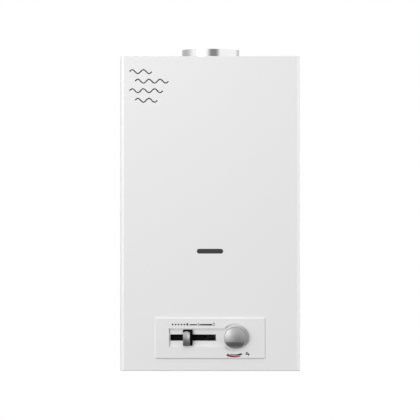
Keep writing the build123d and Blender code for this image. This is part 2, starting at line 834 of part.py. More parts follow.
# Slider base: black plate in the trough with a neck through the slot
slider_x = slot_x + slider_rest
slider_back_out = recess_floor_out + seat_gap
rack_front_out = guide_back_out - seat_gap
with BuildPart() as slider_base:
    with BuildSketch(front(slider_back_out)):
        with Locations((slider_x, control_z)):
            RectangleRounded(slider_width, slider_height, slider_corner)
    extrude(amount=slider_plate)
    with BuildSketch(front(slider_back_out)):
        with Locations((slider_x, control_z)):
            Rectangle(neck_width, neck_height)
    extrude(amount=-(slider_back_out - rack_front_out))
save(slider_base, "slider_base")

# Slider grip: arched silver finger bar on the base, near its left edge, with its upper corners rounded
grip_back_out = slider_back_out + slider_plate
grip_left = slider_x - slider_width / 2 + grip_side
grip_x = grip_left + grip_width / 2
grip_z = control_z - grip_shift
with BuildPart() as slider_grip:
    with BuildSketch(front(grip_back_out)) as grip_outline:
        with Locations((grip_x, grip_z)):
            Rectangle(grip_width, grip_height)
        fillet(grip_outline.vertices().group_by(Axis.Y)[-1], grip_top_corner)
    extrude(amount=grip_rise)
    with BuildSketch(Plane.YZ.offset(grip_left)):
        with BuildLine():
            foot = Line(
                (-grip_back_out, grip_z + grip_height / 2),
                (-grip_back_out, grip_z - grip_height / 2),
            )
            low_end = Line(foot @ 1, (-(grip_back_out + grip_edge_rise), grip_z - grip_height / 2))
            crown = ThreePointArc(
                low_end @ 1,
                (-(grip_back_out + grip_rise), grip_z),
                (-(grip_back_out + grip_edge_rise), grip_z + grip_height / 2),
            )
            Line(crown @ 1, foot @ 0)
        make_face()
    extrude(amount=grip_width, mode=Mode.INTERSECT)
    crown_face = slider_grip.faces().sort_by(Axis.Y)[0]
    fillet(crown_face.edges(), grip_edge)
save(slider_grip, "slider_grip")

# Gas cock drive: rack behind the slider and a toothed sector on the cock's spindle
tooth_pitch = math.pi * gear_module
pitch_radius = gear_module * cock_teeth / 2
addendum = addendum_share * gear_module
dedendum = dedendum_share * gear_module
half_tooth = (tooth_pitch / 2 - backlash) / 2
lean = math.tan(math.radians(pressure_angle))
rack_pitch_z = control_z + rack_pitch_rise
cock_x = slider_x
cock_z = rack_pitch_z + pitch_radius
travel_end = slot_length / 2 - neck_width / 2 - seat_gap
travel_right = travel_end - slider_rest
travel_left = travel_end + slider_rest
rack_teeth_left = math.floor(travel_right / tooth_pitch + 0.5) + 1
rack_teeth_right = math.floor(travel_left / tooth_pitch + 0.5) + 1
rack_root_z = rack_pitch_z - dedendum
with BuildPart() as slider_rack:
    with BuildSketch(front(rack_front_out)):
        with Locations((slider_x - rack_teeth_left * tooth_pitch, rack_root_z)):
            Rectangle(
                (rack_teeth_left + rack_teeth_right) * tooth_pitch,
                rack_bar_height,
                align=(Align.MIN, Align.MAX),
            )
        tooth_places = range(-rack_teeth_left, rack_teeth_right)
        with Locations(*((slider_x + (n + 0.5) * tooth_pitch, rack_pitch_z) for n in tooth_places)):
            Polygon(
                (-half_tooth - dedendum * lean, -dedendum),
                (half_tooth + dedendum * lean, -dedendum),
                (half_tooth - addendum * lean, addendum),
                (-half_tooth + addendum * lean, addendum),
                align=None,
            )
    extrude(amount=-rack_thickness)
save(slider_rack, "slider_rack")


def flank(radius, side):
    """Point on a sector tooth's involute flank, for a tooth that points along +X from the centre."""
    base = pitch_radius * math.cos(math.radians(pressure_angle))
    roll = math.acos(min(1, base / radius))
    at_pitch = math.radians(pressure_angle)
    swing = half_tooth / pitch_radius + (math.tan(at_pitch) - at_pitch) - (math.tan(roll) - roll)
    return radius * math.cos(swing), side * radius * math.sin(swing)


tip_radius = pitch_radius + addendum
root_radius = pitch_radius - dedendum
base_radius = pitch_radius * math.cos(math.radians(pressure_angle))
tooth_angle = 360 / cock_teeth
sector_count = rack_teeth_left + rack_teeth_right + 1
sector_first = mesh_angle - rack_teeth_left * tooth_angle
sector_span = (sector_count - 1) * tooth_angle
sector_out = rack_front_out - (rack_thickness + sector_thickness) / 2
with BuildSketch() as sector_tooth:
    with BuildLine():
        lower = ThreePointArc(flank(base_radius, -1), flank(pitch_radius, -1), flank(tip_radius, -1))
        tip = Line(lower @ 1, flank(tip_radius, 1))
        upper = ThreePointArc(tip @ 1, flank(pitch_radius, 1), flank(base_radius, 1))
        root_upper = Line(upper @ 1, (root_radius - gear_module, (upper @ 1).Y))
        root = Line(root_upper @ 1, (root_radius - gear_module, (lower @ 0).Y))
        Line(root @ 1, lower @ 0)
    make_face()
with BuildPart() as cock_sector:
    with BuildSketch(Plane(origin=(cock_x, -sector_out, cock_z), x_dir=(1, 0, 0), z_dir=(0, -1, 0))):
        with BuildLine():
            rim_start = sector_first - tooth_angle / 2
            rim_arc = CenterArc((0, 0), root_radius, rim_start, sector_span + tooth_angle)
            Line(rim_arc @ 1, (0, 0))
            Line((0, 0), rim_arc @ 0)
        make_face()
        Circle(sector_hub_diameter / 2)
        with PolarLocations(0, sector_count, sector_first, sector_span, endpoint=True):
            add(sector_tooth.sketch)
        Circle(cock_shaft_diameter / 2, mode=Mode.SUBTRACT)
    extrude(amount=sector_thickness)
save(cock_sector, "cock_sector")

# Cock spindle: shaft from the sector into the gas valve's front boss
gas_front_out = valve_out + gas_valve_depth / 2
cock_face_out = gas_front_out + cock_boss_length
with BuildPart() as cock_spindle:
    with BuildSketch(front(cock_face_out - cock_engagement)):
        with Locations((cock_x, cock_z)):
            Circle(cock_shaft_diameter / 2)
    extrude(amount=sector_out + sector_thickness - cock_face_out + cock_engagement)
save(cock_spindle, "cock_spindle")

# Temperature knob: round body with a domed front, scooped out below a grip ridge
knob_back_out = recess_floor_out + seat_gap
knob_radius = knob_diameter / 2
knob_front_out = knob_back_out + knob_rise
scoop_low_out = knob_back_out + knob_bottom_rise
ridge_z = control_z - knob_ridge_drop
with BuildPart() as temperature_knob:
    with BuildSketch(front(knob_back_out)):
        with Locations((knob_x, control_z)):
            Circle(knob_radius)
    extrude(amount=knob_rise, taper=knob_draft)
    with Locations((knob_x, -(knob_front_out - knob_dome), control_z)):
        Sphere(knob_dome, mode=Mode.INTERSECT)
    domed_face = temperature_knob.faces().sort_by(Axis.Y)[0]
    fillet(domed_face.edges(), knob_edge)
    with BuildSketch(Plane.YZ.offset(knob_x - knob_diameter)):
        with BuildLine():
            scoop = ThreePointArc(
                (-scoop_low_out, control_z - knob_radius),
                (
                    -(scoop_low_out + knob_scoop_rise * (knob_rise - knob_bottom_rise)),
                    ridge_z - knob_scoop_drop * (knob_radius - knob_ridge_drop),
                ),
                (-knob_front_out, ridge_z),
            )
            clear_top = Line(scoop @ 1, (-(knob_front_out + knob_rise), ridge_z))
            clear_front = Line(clear_top @ 1, (-(knob_front_out + knob_rise), control_z - knob_diameter))
            clear_low = Line(clear_front @ 1, (-scoop_low_out, control_z - knob_diameter))
            Line(clear_low @ 1, scoop @ 0)
        make_face()
    extrude(amount=2 * knob_diameter, mode=Mode.SUBTRACT)
    with BuildSketch(front(knob_back_out)):
        with Locations((knob_x, control_z)):
            Circle(spindle_radius)
    extrude(amount=knob_bore_depth, mode=Mode.SUBTRACT)
save(temperature_knob, "temperature_knob")

# Gas valve: cast block with a front boss for the cock, an inlet below, an outlet above and a rod gland
gas_top = cock_z + gas_valve_height / 2
gas_bottom = cock_z - gas_valve_height / 2
gas_left = cock_x - gas_valve_width / 2
gas_right = cock_x + gas_valve_width / 2
gland_x = gas_right + gland_length
riser_out = valve_out + riser_out_shift
with BuildPart() as gas_valve_body:
    with BuildSketch(front(valve_out - gas_valve_depth / 2)):
        with Locations((cock_x, cock_z)):
            RectangleRounded(gas_valve_width, gas_valve_height, gas_valve_corner)
    extrude(amount=gas_valve_depth)
    with BuildSketch(front(gas_front_out)):
        with Locations((cock_x, cock_z)):
            Circle(cock_boss_diameter / 2)
    extrude(amount=cock_boss_length, taper=cast_draft)
    with BuildSketch(Plane.XY.offset(gas_bottom)):
        with Locations((cock_x, -valve_out)):
            Circle(gas_inlet_boss_diameter / 2)
    extrude(amount=-gas_inlet_boss_height)
    with BuildSketch(Plane.XY.offset(gas_top)):
        with Locations((cock_x, -riser_out)):
            Circle(riser_boss_diameter / 2)
    extrude(amount=riser_boss_height)
    with BuildSketch(Plane.YZ.offset(gas_right)):
        with Locations((-valve_out, cock_z)):
            Circle(gland_diameter / 2)
    extrude(amount=gland_length)
    with BuildSketch(front(cock_face_out)):
        with Locations((cock_x, cock_z)):
            Circle(cock_shaft_diameter / 2 + running_gap)
    extrude(amount=-(cock_engagement + seat_gap), mode=Mode.SUBTRACT)
    with BuildSketch(Plane.YZ.offset(gland_x)):
        with Locations((-valve_out, cock_z)):
            Circle(rod_diameter / 2 + running_gap)
    extrude(amount=-(rod_engagement + rod_travel + seat_gap), mode=Mode.SUBTRACT)
save(gas_valve_body, "gas_valve_body")

# Solenoid: round coil on the left of the gas valve, with a smaller end cap
with BuildPart() as solenoid_valve:
    with BuildSketch(Plane.YZ.offset(gas_left)):
        with Locations((-valve_out, cock_z)):
            Circle(solenoid_diameter / 2)
    extrude(amount=-solenoid_length)
    with BuildSketch(Plane.YZ.offset(gas_left - solenoid_length)):
        with Locations((-valve_out, cock_z)):
            Circle(solenoid_cap_diameter / 2)
    extrude(amount=-solenoid_cap_length, taper=solenoid_cap_draft)
save(solenoid_valve, "solenoid_valve")

# Gas manifold: beam in front of the venturi mouths with two lugs on the burner frame and an inlet pipe
riser_start = gas_top + riser_boss_height
riser_mid = (riser_start + manifold_bottom) / 2
riser_route = bent_route(
    [
        (cock_x, -riser_out, riser_start),
        (cock_x, -riser_out, riser_mid),
        (cock_x, -manifold_mid_out, riser_mid),
        (cock_x, -manifold_mid_out, manifold_bottom),
    ],
    riser_bend_share * (manifold_bottom - riser_start),
)
with BuildPart() as gas_manifold:
    with BuildSketch(Plane.YZ.offset(-lug_outer)):
        with Locations((-manifold_mid_out, venturi_z)):
            RectangleRounded(manifold_depth, manifold_height, manifold_depth / 4)
    extrude(amount=2 * lug_outer)
    with BuildSketch(Plane.YZ.offset(-lug_outer), Plane.YZ.offset(lug_inner)):
        with BuildLine():
            Polyline(
                (-manifold_back_out, venturi_z + manifold_height / 4),
                (-manifold_back_out, venturi_z - manifold_height / 4),
                (-chamber_front_out, venturi_z - manifold_height / 4),
                (-chamber_front_out, burner_top - deck_drop),
                (-(chamber_front_out + manifold_lug_sheet), burner_top - deck_drop),
                (-(chamber_front_out + manifold_lug_sheet), venturi_z + manifold_height / 4),
                close=True,
            )
        make_face()
    extrude(amount=manifold_lug)
    round_run(riser_route, riser_diameter / 2)
save(gas_manifold, "gas_manifold")

# Water valve: diaphragm flange on the left of a brass body, with the regulator gland on its front
rod_radius = rod_diameter / 2
boss_x = gland_x + link_gap
cover_x = boss_x + cover_boss_length
joint_x = cover_x + cover_thickness
body_left = joint_x + diaphragm_flange_thickness
body_right = body_left + water_body_width
body_x = (body_left + body_right) / 2
body_top = cock_z + water_body_above
body_bottom = cock_z - water_body_below
water_front_out = valve_out + water_body_depth / 2
spindle_face_out = water_front_out + spindle_boss_length
rod_room = rod_plate_diameter / 2 + rod_plate_gap
with BuildPart() as water_valve_body:
    with BuildSketch(Plane.YZ.offset(joint_x)):
        with Locations((-valve_out, cock_z)):
            Circle(diaphragm_flange_diameter / 2)
    extrude(amount=diaphragm_flange_thickness)
    with BuildSketch(Plane.YZ.offset(body_left)):
        with Locations((-valve_out, (body_top + body_bottom) / 2)):
            RectangleRounded(water_body_depth, body_top - body_bottom, water_body_corner)
    extrude(amount=water_body_width)
    with BuildSketch(front(water_front_out)):
        with Locations((knob_x, control_z)):
            Circle(spindle_boss_diameter / 2)
    extrude(amount=spindle_boss_length)
    with BuildSketch(Plane.YZ.offset(body_right)):
        with Locations((-valve_out, cock_z)):
            Circle(feed_boss_diameter / 2)
    extrude(amount=feed_boss_length)
    with BuildSketch(front(spindle_face_out)):
        with Locations((knob_x, control_z)):
            Circle(spindle_radius + running_gap)
    extrude(amount=-(spindle_engagement + seat_gap), mode=Mode.SUBTRACT)
    with BuildSketch(Plane.YZ.offset(joint_x)):
        with Locations((-valve_out, cock_z)):
            Circle(diaphragm_diameter / 2 + hole_gap)
    extrude(amount=diaphragm_thickness, mode=Mode.SUBTRACT)
    with BuildSketch(Plane.YZ.offset(joint_x + diaphragm_thickness)):
        with Locations((-valve_out, cock_z)):
            Circle(rod_room)
    extrude(amount=diaphragm_flange_thickness / 2, mode=Mode.SUBTRACT)
save(water_valve_body, "water_valve_body")

with BuildPart() as water_valve_cover:
    with BuildSketch(Plane.YZ.offset(cover_x)):
        with Locations((-valve_out, cock_z)):
            Circle(diaphragm_flange_diameter / 2)
    extrude(amount=cover_thickness)
    with BuildSketch(Plane.YZ.offset(cover_x)):
        with Locations((-valve_out, cock_z)):
            Circle(cover_boss_diameter / 2)
    extrude(amount=-cover_boss_length, taper=cover_boss_draft)
    with BuildSketch(Plane.YZ.offset(boss_x)):
        with Locations((-valve_out, cock_z)):
            Circle(rod_radius + running_gap)
    extrude(amount=cover_boss_length + cover_thickness, mode=Mode.SUBTRACT)
    with BuildSketch(Plane.YZ.offset(joint_x)):
        with Locations((-valve_out, cock_z)):
            Circle(rod_room)
    extrude(amount=-(rod_travel + rod_plate_thickness + 2 * seat_gap), mode=Mode.SUBTRACT)
save(water_valve_cover, "water_valve_cover")

with BuildPart() as valve_diaphragm:
    with BuildSketch(Plane.YZ.offset(joint_x)):
        with Locations((-valve_out, cock_z)):
            Circle(diaphragm_diameter / 2)
    extrude(amount=diaphragm_thickness)
save(valve_diaphragm, "valve_diaphragm")

# Push rod: plate on the diaphragm, a flag for the flow switch and a stem into the gas valve's gland
flag_x = gland_x + flag_place
shelf_z = cock_z + switch_shelf_rise
plunger_z = shelf_z + switch_height / 2
flag_top = plunger_z + plunger_diameter
plate_x = joint_x - seat_gap - rod_plate_thickness
with BuildPart() as push_rod:
    with BuildSketch(Plane.YZ.offset(gland_x - rod_engagement)):
        with Locations((-valve_out, cock_z)):
            Circle(rod_radius)
    extrude(amount=plate_x - gland_x + rod_engagement)
    with BuildSketch(Plane.YZ.offset(plate_x)):
        with Locations((-valve_out, cock_z)):
            Circle(rod_plate_diameter / 2)
    extrude(amount=rod_plate_thickness)
    with BuildSketch(Plane.YZ.offset(flag_x)):
        with Locations((-valve_out, cock_z)):
            Circle(rod_diameter)
            Rectangle(flag_width, flag_top - cock_z, align=(Align.CENTER, Align.MIN))
    extrude(amount=flag_thickness)
save(push_rod, "push_rod")

# Flow switch: small snap switch on a folded shelf, with a plunger that faces the rod's flag
switch_left = gas_right + switch_inset
switch_right = switch_left + switch_width
plunger_right = flag_x - seat_gap
with BuildPart() as switch_bracket:
    with BuildSketch(front(valve_out - switch_bracket_width / 2)):
        with BuildLine():
            Polyline(
                (gas_right, gas_top - gas_valve_corner),
                (gas_right, shelf_z - switch_bracket_sheet),
                (switch_right, shelf_z - switch_bracket_sheet),
                (switch_right, shelf_z),
                (gas_right + switch_bracket_sheet, shelf_z),
                (gas_right + switch_bracket_sheet, gas_top - gas_valve_corner),
                close=True,
            )
        make_face()
    extrude(amount=switch_bracket_width)
save(switch_bracket, "switch_bracket")

with BuildPart() as flow_switch:
    with BuildSketch(front(valve_out - switch_depth / 2)):
        with Locations((switch_left, shelf_z)):
            Rectangle(switch_width, switch_height, align=(Align.MIN, Align.MIN))
    extrude(amount=switch_depth)
    fillet(flow_switch.edges().filter_by(Axis.Z), switch_corner)
    with BuildSketch(Plane.YZ.offset(switch_right)):
        with Locations((-valve_out, plunger_z)):
            Circle(plunger_diameter / 2 + running_gap)
    extrude(
        amount=-(switch_right - plunger_right + plunger_length + rod_travel + seat_gap),
        mode=Mode.SUBTRACT,
    )
save(flow_switch, "flow_switch")

with BuildPart() as switch_plunger:
    with BuildSketch(Plane.YZ.offset(plunger_right - plunger_length)):
        with Locations((-valve_out, plunger_z)):
            Circle(plunger_diameter / 2)
    extrude(amount=plunger_length)
save(switch_plunger, "switch_plunger")

# Water spindle: shaft from the knob back into the water valve's regulator gland
with BuildPart() as water_spindle:
    with BuildSketch(front(spindle_face_out - spindle_engagement)):
        with Locations((knob_x, control_z)):
            Circle(spindle_radius)
    extrude(amount=knob_back_out + knob_bore_depth - spindle_face_out + spindle_engagement)
save(water_spindle, "water_spindle")

# Pipe nipples: threaded spigots below the floor plate, with hexagons under it and lock nuts on top
gas_x = cock_x
cold_x = body_x
hot_x = hot_nipple_offset
nipple_end = bottom_z + nipple_short
nut_top = floor_top + lock_nut_height
stem_radius = nipple_stem_diameter / 2
hot_stem_top = nut_top + hot_stem_length


def nipple(x, stem_top):
    """Threaded spigot with a hexagon under the floor plate and a stem up to what it feeds."""
    with BuildPart() as fitting:
        with BuildSketch(Plane.XY.offset(nipple_end)):
            with Locations((x, -valve_out)):
                Circle(nipple_thread_diameter / 2)
        extrude(amount=floor_z - nipple_hex_height - nipple_end)
        chamfer(fitting.edges().sort_by(Axis.Z)[0], nipple_chamfer)
        with BuildSketch(Plane.XY.offset(floor_z - nipple_hex_height)):
            with Locations((x, -valve_out)):
                RegularPolygon(nipple_hex / 2, 6, major_radius=False)
        extrude(amount=nipple_hex_height)
        with BuildSketch(Plane.XY.offset(floor_z)):
            with Locations((x, -valve_out)):
                Circle(stem_radius)
        extrude(amount=stem_top - floor_z)
        with BuildSketch(Plane.XY.offset(nipple_end)):
            with Locations((x, -valve_out)):
                Circle(nipple_bore / 2)
        extrude(amount=floor_z - nipple_end, mode=Mode.SUBTRACT)
    return fitting


hot_nipple = nipple(hot_x, hot_stem_top)
save(hot_nipple, "hot_nipple")
gas_nipple = nipple(gas_x, gas_bottom - gas_inlet_boss_height)
save(gas_nipple, "gas_nipple")
cold_nipple = nipple(cold_x, body_bottom)
save(cold_nipple, "cold_nipple")

nipple_spots = [(hot_x, -valve_out), (gas_x, -valve_out), (cold_x, -valve_out)]
with BuildPart() as lock_nuts:
    with BuildSketch(Plane.XY.offset(floor_top)):
        with Locations(*nipple_spots):
            RegularPolygon(lock_nut_hex / 2, 6, major_radius=False)
            Circle(stem_radius + running_gap, mode=Mode.SUBTRACT)
    extrude(amount=lock_nut_height)
save(lock_nuts, "lock_nuts")

# Battery box: moulded pocket for two cells that stands on the floor plate, with a door below it
battery_x = half_width - battery_side
battery_inner_width = cell_diameter + 2 * cell_gap
battery_inner_depth = 2 * cell_diameter + 3 * cell_gap
battery_width = battery_inner_width + 2 * battery_wall
battery_depth = battery_inner_depth + 2 * battery_wall
collar_bottom = floor_z - battery_collar
cell_bottom = collar_bottom + seat_gap
cell_top = cell_bottom + cell_length + cell_button_height
battery_ceiling = cell_top + contact_thickness
hinge_out = battery_out - battery_depth / 2 - door_ear_reach / 2 - seat_gap
hinge_z = collar_bottom - seat_gap - door_thickness / 2
ear_radius = door_ear_reach / 2
ear_places = [battery_x - door_ear_across / 2, battery_x + door_ear_across / 2]
battery_back_out = battery_out - battery_depth / 2
with BuildPart() as battery_box:
    with BuildSketch(Plane.XY.offset(collar_bottom)):
        with Locations((battery_x, -battery_out)):
            RectangleRounded(battery_width, battery_depth, battery_corner)
    extrude(amount=battery_ceiling + battery_wall - collar_bottom)
    with BuildSketch(Plane.XY.offset(floor_top)):
        with Locations((battery_x, -battery_out)):
            RectangleRounded(
                battery_width + 2 * battery_flange,
                battery_depth + 2 * battery_flange,
                battery_flange,
            )
    extrude(amount=battery_wall)
    with BuildSketch(Plane.XY.offset(collar_bottom)):
        with Locations((battery_x, -battery_out)):
            Rectangle(battery_inner_width, battery_inner_depth)
    extrude(amount=battery_ceiling - collar_bottom, mode=Mode.SUBTRACT)
    with BuildSketch(*(Plane.YZ.offset(x - door_ear_width / 2) for x in ear_places)):
        with Locations((-hinge_out, hinge_z)):
            Circle(ear_radius)
            Rectangle(2 * ear_radius, floor_z - seat_gap - hinge_z, align=(Align.CENTER, Align.MIN))
        with Locations((-hinge_out, collar_bottom)):
            Rectangle(
                battery_back_out - hinge_out,
                battery_collar - seat_gap,
                align=(Align.MAX, Align.MIN),
            )
        with Locations((-hinge_out, hinge_z)):
            Circle(door_pin_diameter / 2 + running_gap, mode=Mode.SUBTRACT)
    extrude(amount=door_ear_width)
save(battery_box, "battery_box")

with BuildPart() as battery_door:
    with BuildSketch(Plane.XY.offset(hinge_z - door_thickness / 2)):
        with Locations((battery_x, -battery_out)):
            RectangleRounded(battery_width, battery_depth, battery_corner)
        with Locations((battery_x, -hinge_out)):
            Rectangle(
                door_ear_across - door_ear_width - 2 * seat_gap,
                battery_back_out - hinge_out + battery_wall,
                align=(Align.CENTER, Align.MAX),
            )
    extrude(amount=door_thickness)
    with BuildSketch(Plane.YZ.offset(battery_x - (door_ear_across + door_ear_width) / 2)):
        with Locations((-hinge_out, hinge_z)):
            Circle(door_pin_diameter / 2)
    extrude(amount=door_ear_across + door_ear_width)
save(battery_door, "battery_door")

cell_across = cell_diameter + cell_gap
cell_rear_out = battery_out - cell_across / 2
cell_front_out = battery_out + cell_across / 2
with BuildPart() as battery_cells:
    with BuildSketch(Plane.XY.offset(cell_bottom)):
        with Locations((battery_x, -cell_rear_out)):
            Circle(cell_diameter / 2)
    extrude(amount=cell_length)
    with BuildSketch(Plane.XY.offset(cell_bottom + cell_length)):
        with Locations((battery_x, -cell_rear_out)):
            Circle(cell_button_diameter / 2)
    extrude(amount=cell_button_height)
    with BuildSketch(Plane.XY.offset(cell_top)):
        with Locations((battery_x, -cell_front_out)):
            Circle(cell_diameter / 2)
    extrude(amount=-cell_length)
    with BuildSketch(Plane.XY.offset(cell_top - cell_length)):
        with Locations((battery_x, -cell_front_out)):
            Circle(cell_button_diameter / 2)
    extrude(amount=-cell_button_height)
save(battery_cells, "battery_cells")

with BuildPart() as battery_contact:
    with BuildSketch(Plane.XY.offset(cell_top)):
        with Locations((battery_x, -battery_out)):
            SlotOverall(cell_across + 2 * contact_width, contact_width, rotation=90)
    extrude(amount=contact_thickness)
save(battery_contact, "battery_contact")

# Floor plate: closes the case from below, with holes for the stems and the battery box and air slots
with BuildPart() as floor_plate:
    with BuildSketch(Plane.XY.offset(floor_z)):
        with Locations((0, -sheet)):
            Rectangle(
                2 * pan_inner,
                inner_front_out - seat_gap - sheet,
                align=(Align.CENTER, Align.MAX),
            )
        with Locations(*nipple_spots):
            Circle(stem_radius + stem_hole_gap, mode=Mode.SUBTRACT)
        with Locations((battery_x, -battery_out)):
            RectangleRounded(
                battery_width + 2 * seat_gap,
                battery_depth + 2 * seat_gap,
                battery_corner + seat_gap,
                mode=Mode.SUBTRACT,
            )
        with Locations((0, -(water_front_out + vent_slot_length / 2))):
            with GridLocations(vent_slot_pitch, 0, vent_slot_count, 1):
                Rectangle(vent_slot_width, vent_slot_length, mode=Mode.SUBTRACT)
    extrude(amount=sheet)
    fillet(floor_plate.edges().filter_by(Axis.Z).group_by(Axis.Y)[0], edge_radius)
save(floor_plate, "floor_plate")

# Feed pipe: from the water valve up to the chamber, once round it as a cooling coil, then to the first pass
riser_x = tube_end + coil_bend + bend_gap
feed_route = bent_route(
    [
        (body_right + feed_boss_length, -valve_out, cock_z),
        (coil_x, -valve_out, cock_z),
        (coil_x, -valve_out, coil_z),
        (coil_x, -coil_front_out, coil_z),
        (-coil_x, -coil_front_out, coil_z),
        (-coil_x, -coil_back_out, coil_z),
        (riser_x, -coil_back_out, coil_z),
        (riser_x, -pass_outs[0], fin_z),
        (tube_end, -pass_outs[0], fin_z),
    ],
    coil_bend,
)
with BuildPart() as feed_pipe:
    round_run(feed_route, coil_radius)
save(feed_pipe, "feed_pipe")

# Hot pipe: from the last pass down the left side and over to the hot nipple
hot_run_x = -(tube_end + hot_bend + bend_gap)
hot_low = hot_stem_top + hot_bend
hot_route = bent_route(
    [
        (-tube_end, -pass_outs[2], fin_z),
        (hot_run_x, -pass_outs[2], fin_z),
        (hot_run_x, -pass_outs[2], hot_low + hot_jog),
        (hot_x, -valve_out, hot_low),
        (hot_x, -valve_out, hot_stem_top),
    ],
    hot_bend,
)
with BuildPart() as hot_pipe:
    round_run(hot_route, hot_diameter / 2)
save(hot_pipe, "hot_pipe")

# Overheat thermostat: button on a spring clip round the hot pipe
clip_z = (fin_z + coil_z) / 2
clip_bore = hot_diameter / 2 + running_gap
clip_seat_out = pass_outs[2] + hot_diameter / 2 + clip_sheet + running_gap
with BuildPart() as thermostat_clip:
    with BuildSketch(Plane.XY.offset(clip_z - clip_height / 2)):
        with Locations((hot_run_x, -pass_outs[2])):
            Circle(clip_bore + clip_sheet)
            Rectangle(2 * clip_bore, clip_bore + clip_sheet, align=(Align.CENTER, Align.MAX))
            Circle(clip_bore, mode=Mode.SUBTRACT)
            Rectangle(clip_bore, 2 * clip_bore, align=(Align.CENTER, Align.MIN), mode=Mode.SUBTRACT)
    extrude(amount=clip_height)
save(thermostat_clip, "thermostat_clip")

with BuildPart() as overheat_thermostat:
    with BuildSketch(front(clip_seat_out)):
        with Locations((hot_run_x, clip_z)):
            Circle(thermostat_diameter / 2)
    extrude(amount=thermostat_height)
    with BuildSketch(front(clip_seat_out + thermostat_height)):
        with Locations((hot_run_x, clip_z)):
            with GridLocations(thermostat_diameter / 2, 0, 2, 1):
                Rectangle(terminal_sheet, terminal_width)
    extrude(amount=terminal_length)
save(overheat_thermostat, "overheat_thermostat")

# Cell brackets: two hat-section straps that hold the heat cell off the back plate
strap_half = strap_width / 2
strap_inner = strap_half - strap_foot
with BuildPart() as cell_brackets:
    with BuildSketch(
        Plane.XY.offset(fin_z - strap_height / 2),
        Plane.XY.offset(burner_top + strap_rise - strap_height / 2),
    ):
        with BuildLine():
            Polyline(
                (-strap_half, -sheet),
                (-strap_half, -sheet - strap_sheet),
                (-strap_inner, -sheet - strap_sheet),
                (-strap_inner, -chamber_back_out),
                (strap_inner, -chamber_back_out),
                (strap_inner, -sheet - strap_sheet),
                (strap_half, -sheet - strap_sheet),
                (strap_half, -sheet),
                (strap_inner - strap_sheet, -sheet),
                (strap_inner - strap_sheet, -chamber_back_out + strap_sheet),
                (-strap_inner + strap_sheet, -chamber_back_out + strap_sheet),
                (-strap_inner + strap_sheet, -sheet),
                close=True,
            )
        make_face()
    extrude(amount=strap_height)
save(cell_brackets, "cell_brackets")

# Igniter module: moulded box on the back plate with two screwed ears and two lead sockets on top
igniter_x = igniter_side - half_width
igniter_z = bottom_z + igniter_rise
igniter_top = igniter_z + igniter_height / 2
socket_out = sheet + igniter_depth / 2
socket_places = [igniter_x - igniter_socket_across / 2, igniter_x + igniter_socket_across / 2]
with BuildPart() as igniter_module:
    with BuildSketch(front(sheet)):
        with Locations((igniter_x, igniter_z)):
            RectangleRounded(igniter_width, igniter_height, igniter_corner)
    extrude(amount=igniter_depth)
    chamfer(igniter_module.faces().sort_by(Axis.Y)[0].edges(), igniter_corner / 2)
    with BuildSketch(front(sheet)):
        with Locations((igniter_x, igniter_z)):
            SlotOverall(igniter_height + 2 * igniter_ear, igniter_ear, rotation=90)
    extrude(amount=igniter_ear_thickness)
    with BuildSketch(Plane.XY.offset(igniter_top)):
        with Locations(*((x, -socket_out) for x in socket_places)):
            Circle(igniter_socket_diameter / 2)
    extrude(amount=igniter_socket_height, taper=igniter_socket_draft)
save(igniter_module, "igniter_module")
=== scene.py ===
"""Finishes, printed marks, small trim, light and camera for a wall-hung tankless gas water heater."""

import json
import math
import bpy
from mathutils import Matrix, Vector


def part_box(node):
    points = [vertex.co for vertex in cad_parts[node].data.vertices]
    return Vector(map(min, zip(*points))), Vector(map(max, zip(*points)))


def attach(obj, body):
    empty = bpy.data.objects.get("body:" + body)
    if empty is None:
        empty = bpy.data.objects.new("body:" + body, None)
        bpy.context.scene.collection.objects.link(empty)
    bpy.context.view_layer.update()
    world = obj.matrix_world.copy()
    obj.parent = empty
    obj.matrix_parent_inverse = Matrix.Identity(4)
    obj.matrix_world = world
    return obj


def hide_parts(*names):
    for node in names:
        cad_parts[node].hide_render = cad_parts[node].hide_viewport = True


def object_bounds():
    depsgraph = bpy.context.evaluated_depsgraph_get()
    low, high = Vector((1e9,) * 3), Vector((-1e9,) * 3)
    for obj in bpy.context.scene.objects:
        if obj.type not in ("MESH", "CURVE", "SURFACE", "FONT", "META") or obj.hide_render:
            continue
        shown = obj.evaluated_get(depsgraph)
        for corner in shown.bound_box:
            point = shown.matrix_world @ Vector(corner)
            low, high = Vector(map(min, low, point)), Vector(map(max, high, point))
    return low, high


bl_info = {
    "name": "Tankless Water Heater",
    "version": (1, 0, 0),
    "blender": (4, 5, 0),
    "location": "View3D > Sidebar > Heater",
    "description": "Finishes and small trim of a wall-hung tankless gas water heater",
    "category": "Object",
}

import bmesh
import bpy
from bpy.props import FloatProperty, FloatVectorProperty, IntProperty, PointerProperty
from mathutils import Matrix, Vector

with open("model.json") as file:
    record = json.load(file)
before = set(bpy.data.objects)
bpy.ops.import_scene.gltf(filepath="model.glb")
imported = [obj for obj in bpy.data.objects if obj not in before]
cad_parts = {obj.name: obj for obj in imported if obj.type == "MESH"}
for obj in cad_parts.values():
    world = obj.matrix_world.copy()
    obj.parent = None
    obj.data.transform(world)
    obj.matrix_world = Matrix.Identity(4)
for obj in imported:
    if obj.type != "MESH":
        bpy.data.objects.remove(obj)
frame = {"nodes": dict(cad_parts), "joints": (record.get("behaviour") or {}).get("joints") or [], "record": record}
cad_low, cad_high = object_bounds()

MM = 0.001
MERGE_DISTANCE = 1e-6
SHARP_ANGLE = math.radians(32)
NODE_SLOT = {row["node"]: row["material_slot"] for row in frame["record"]["subparts"]}
JOINT = {row["name"]: row for row in frame["joints"]}

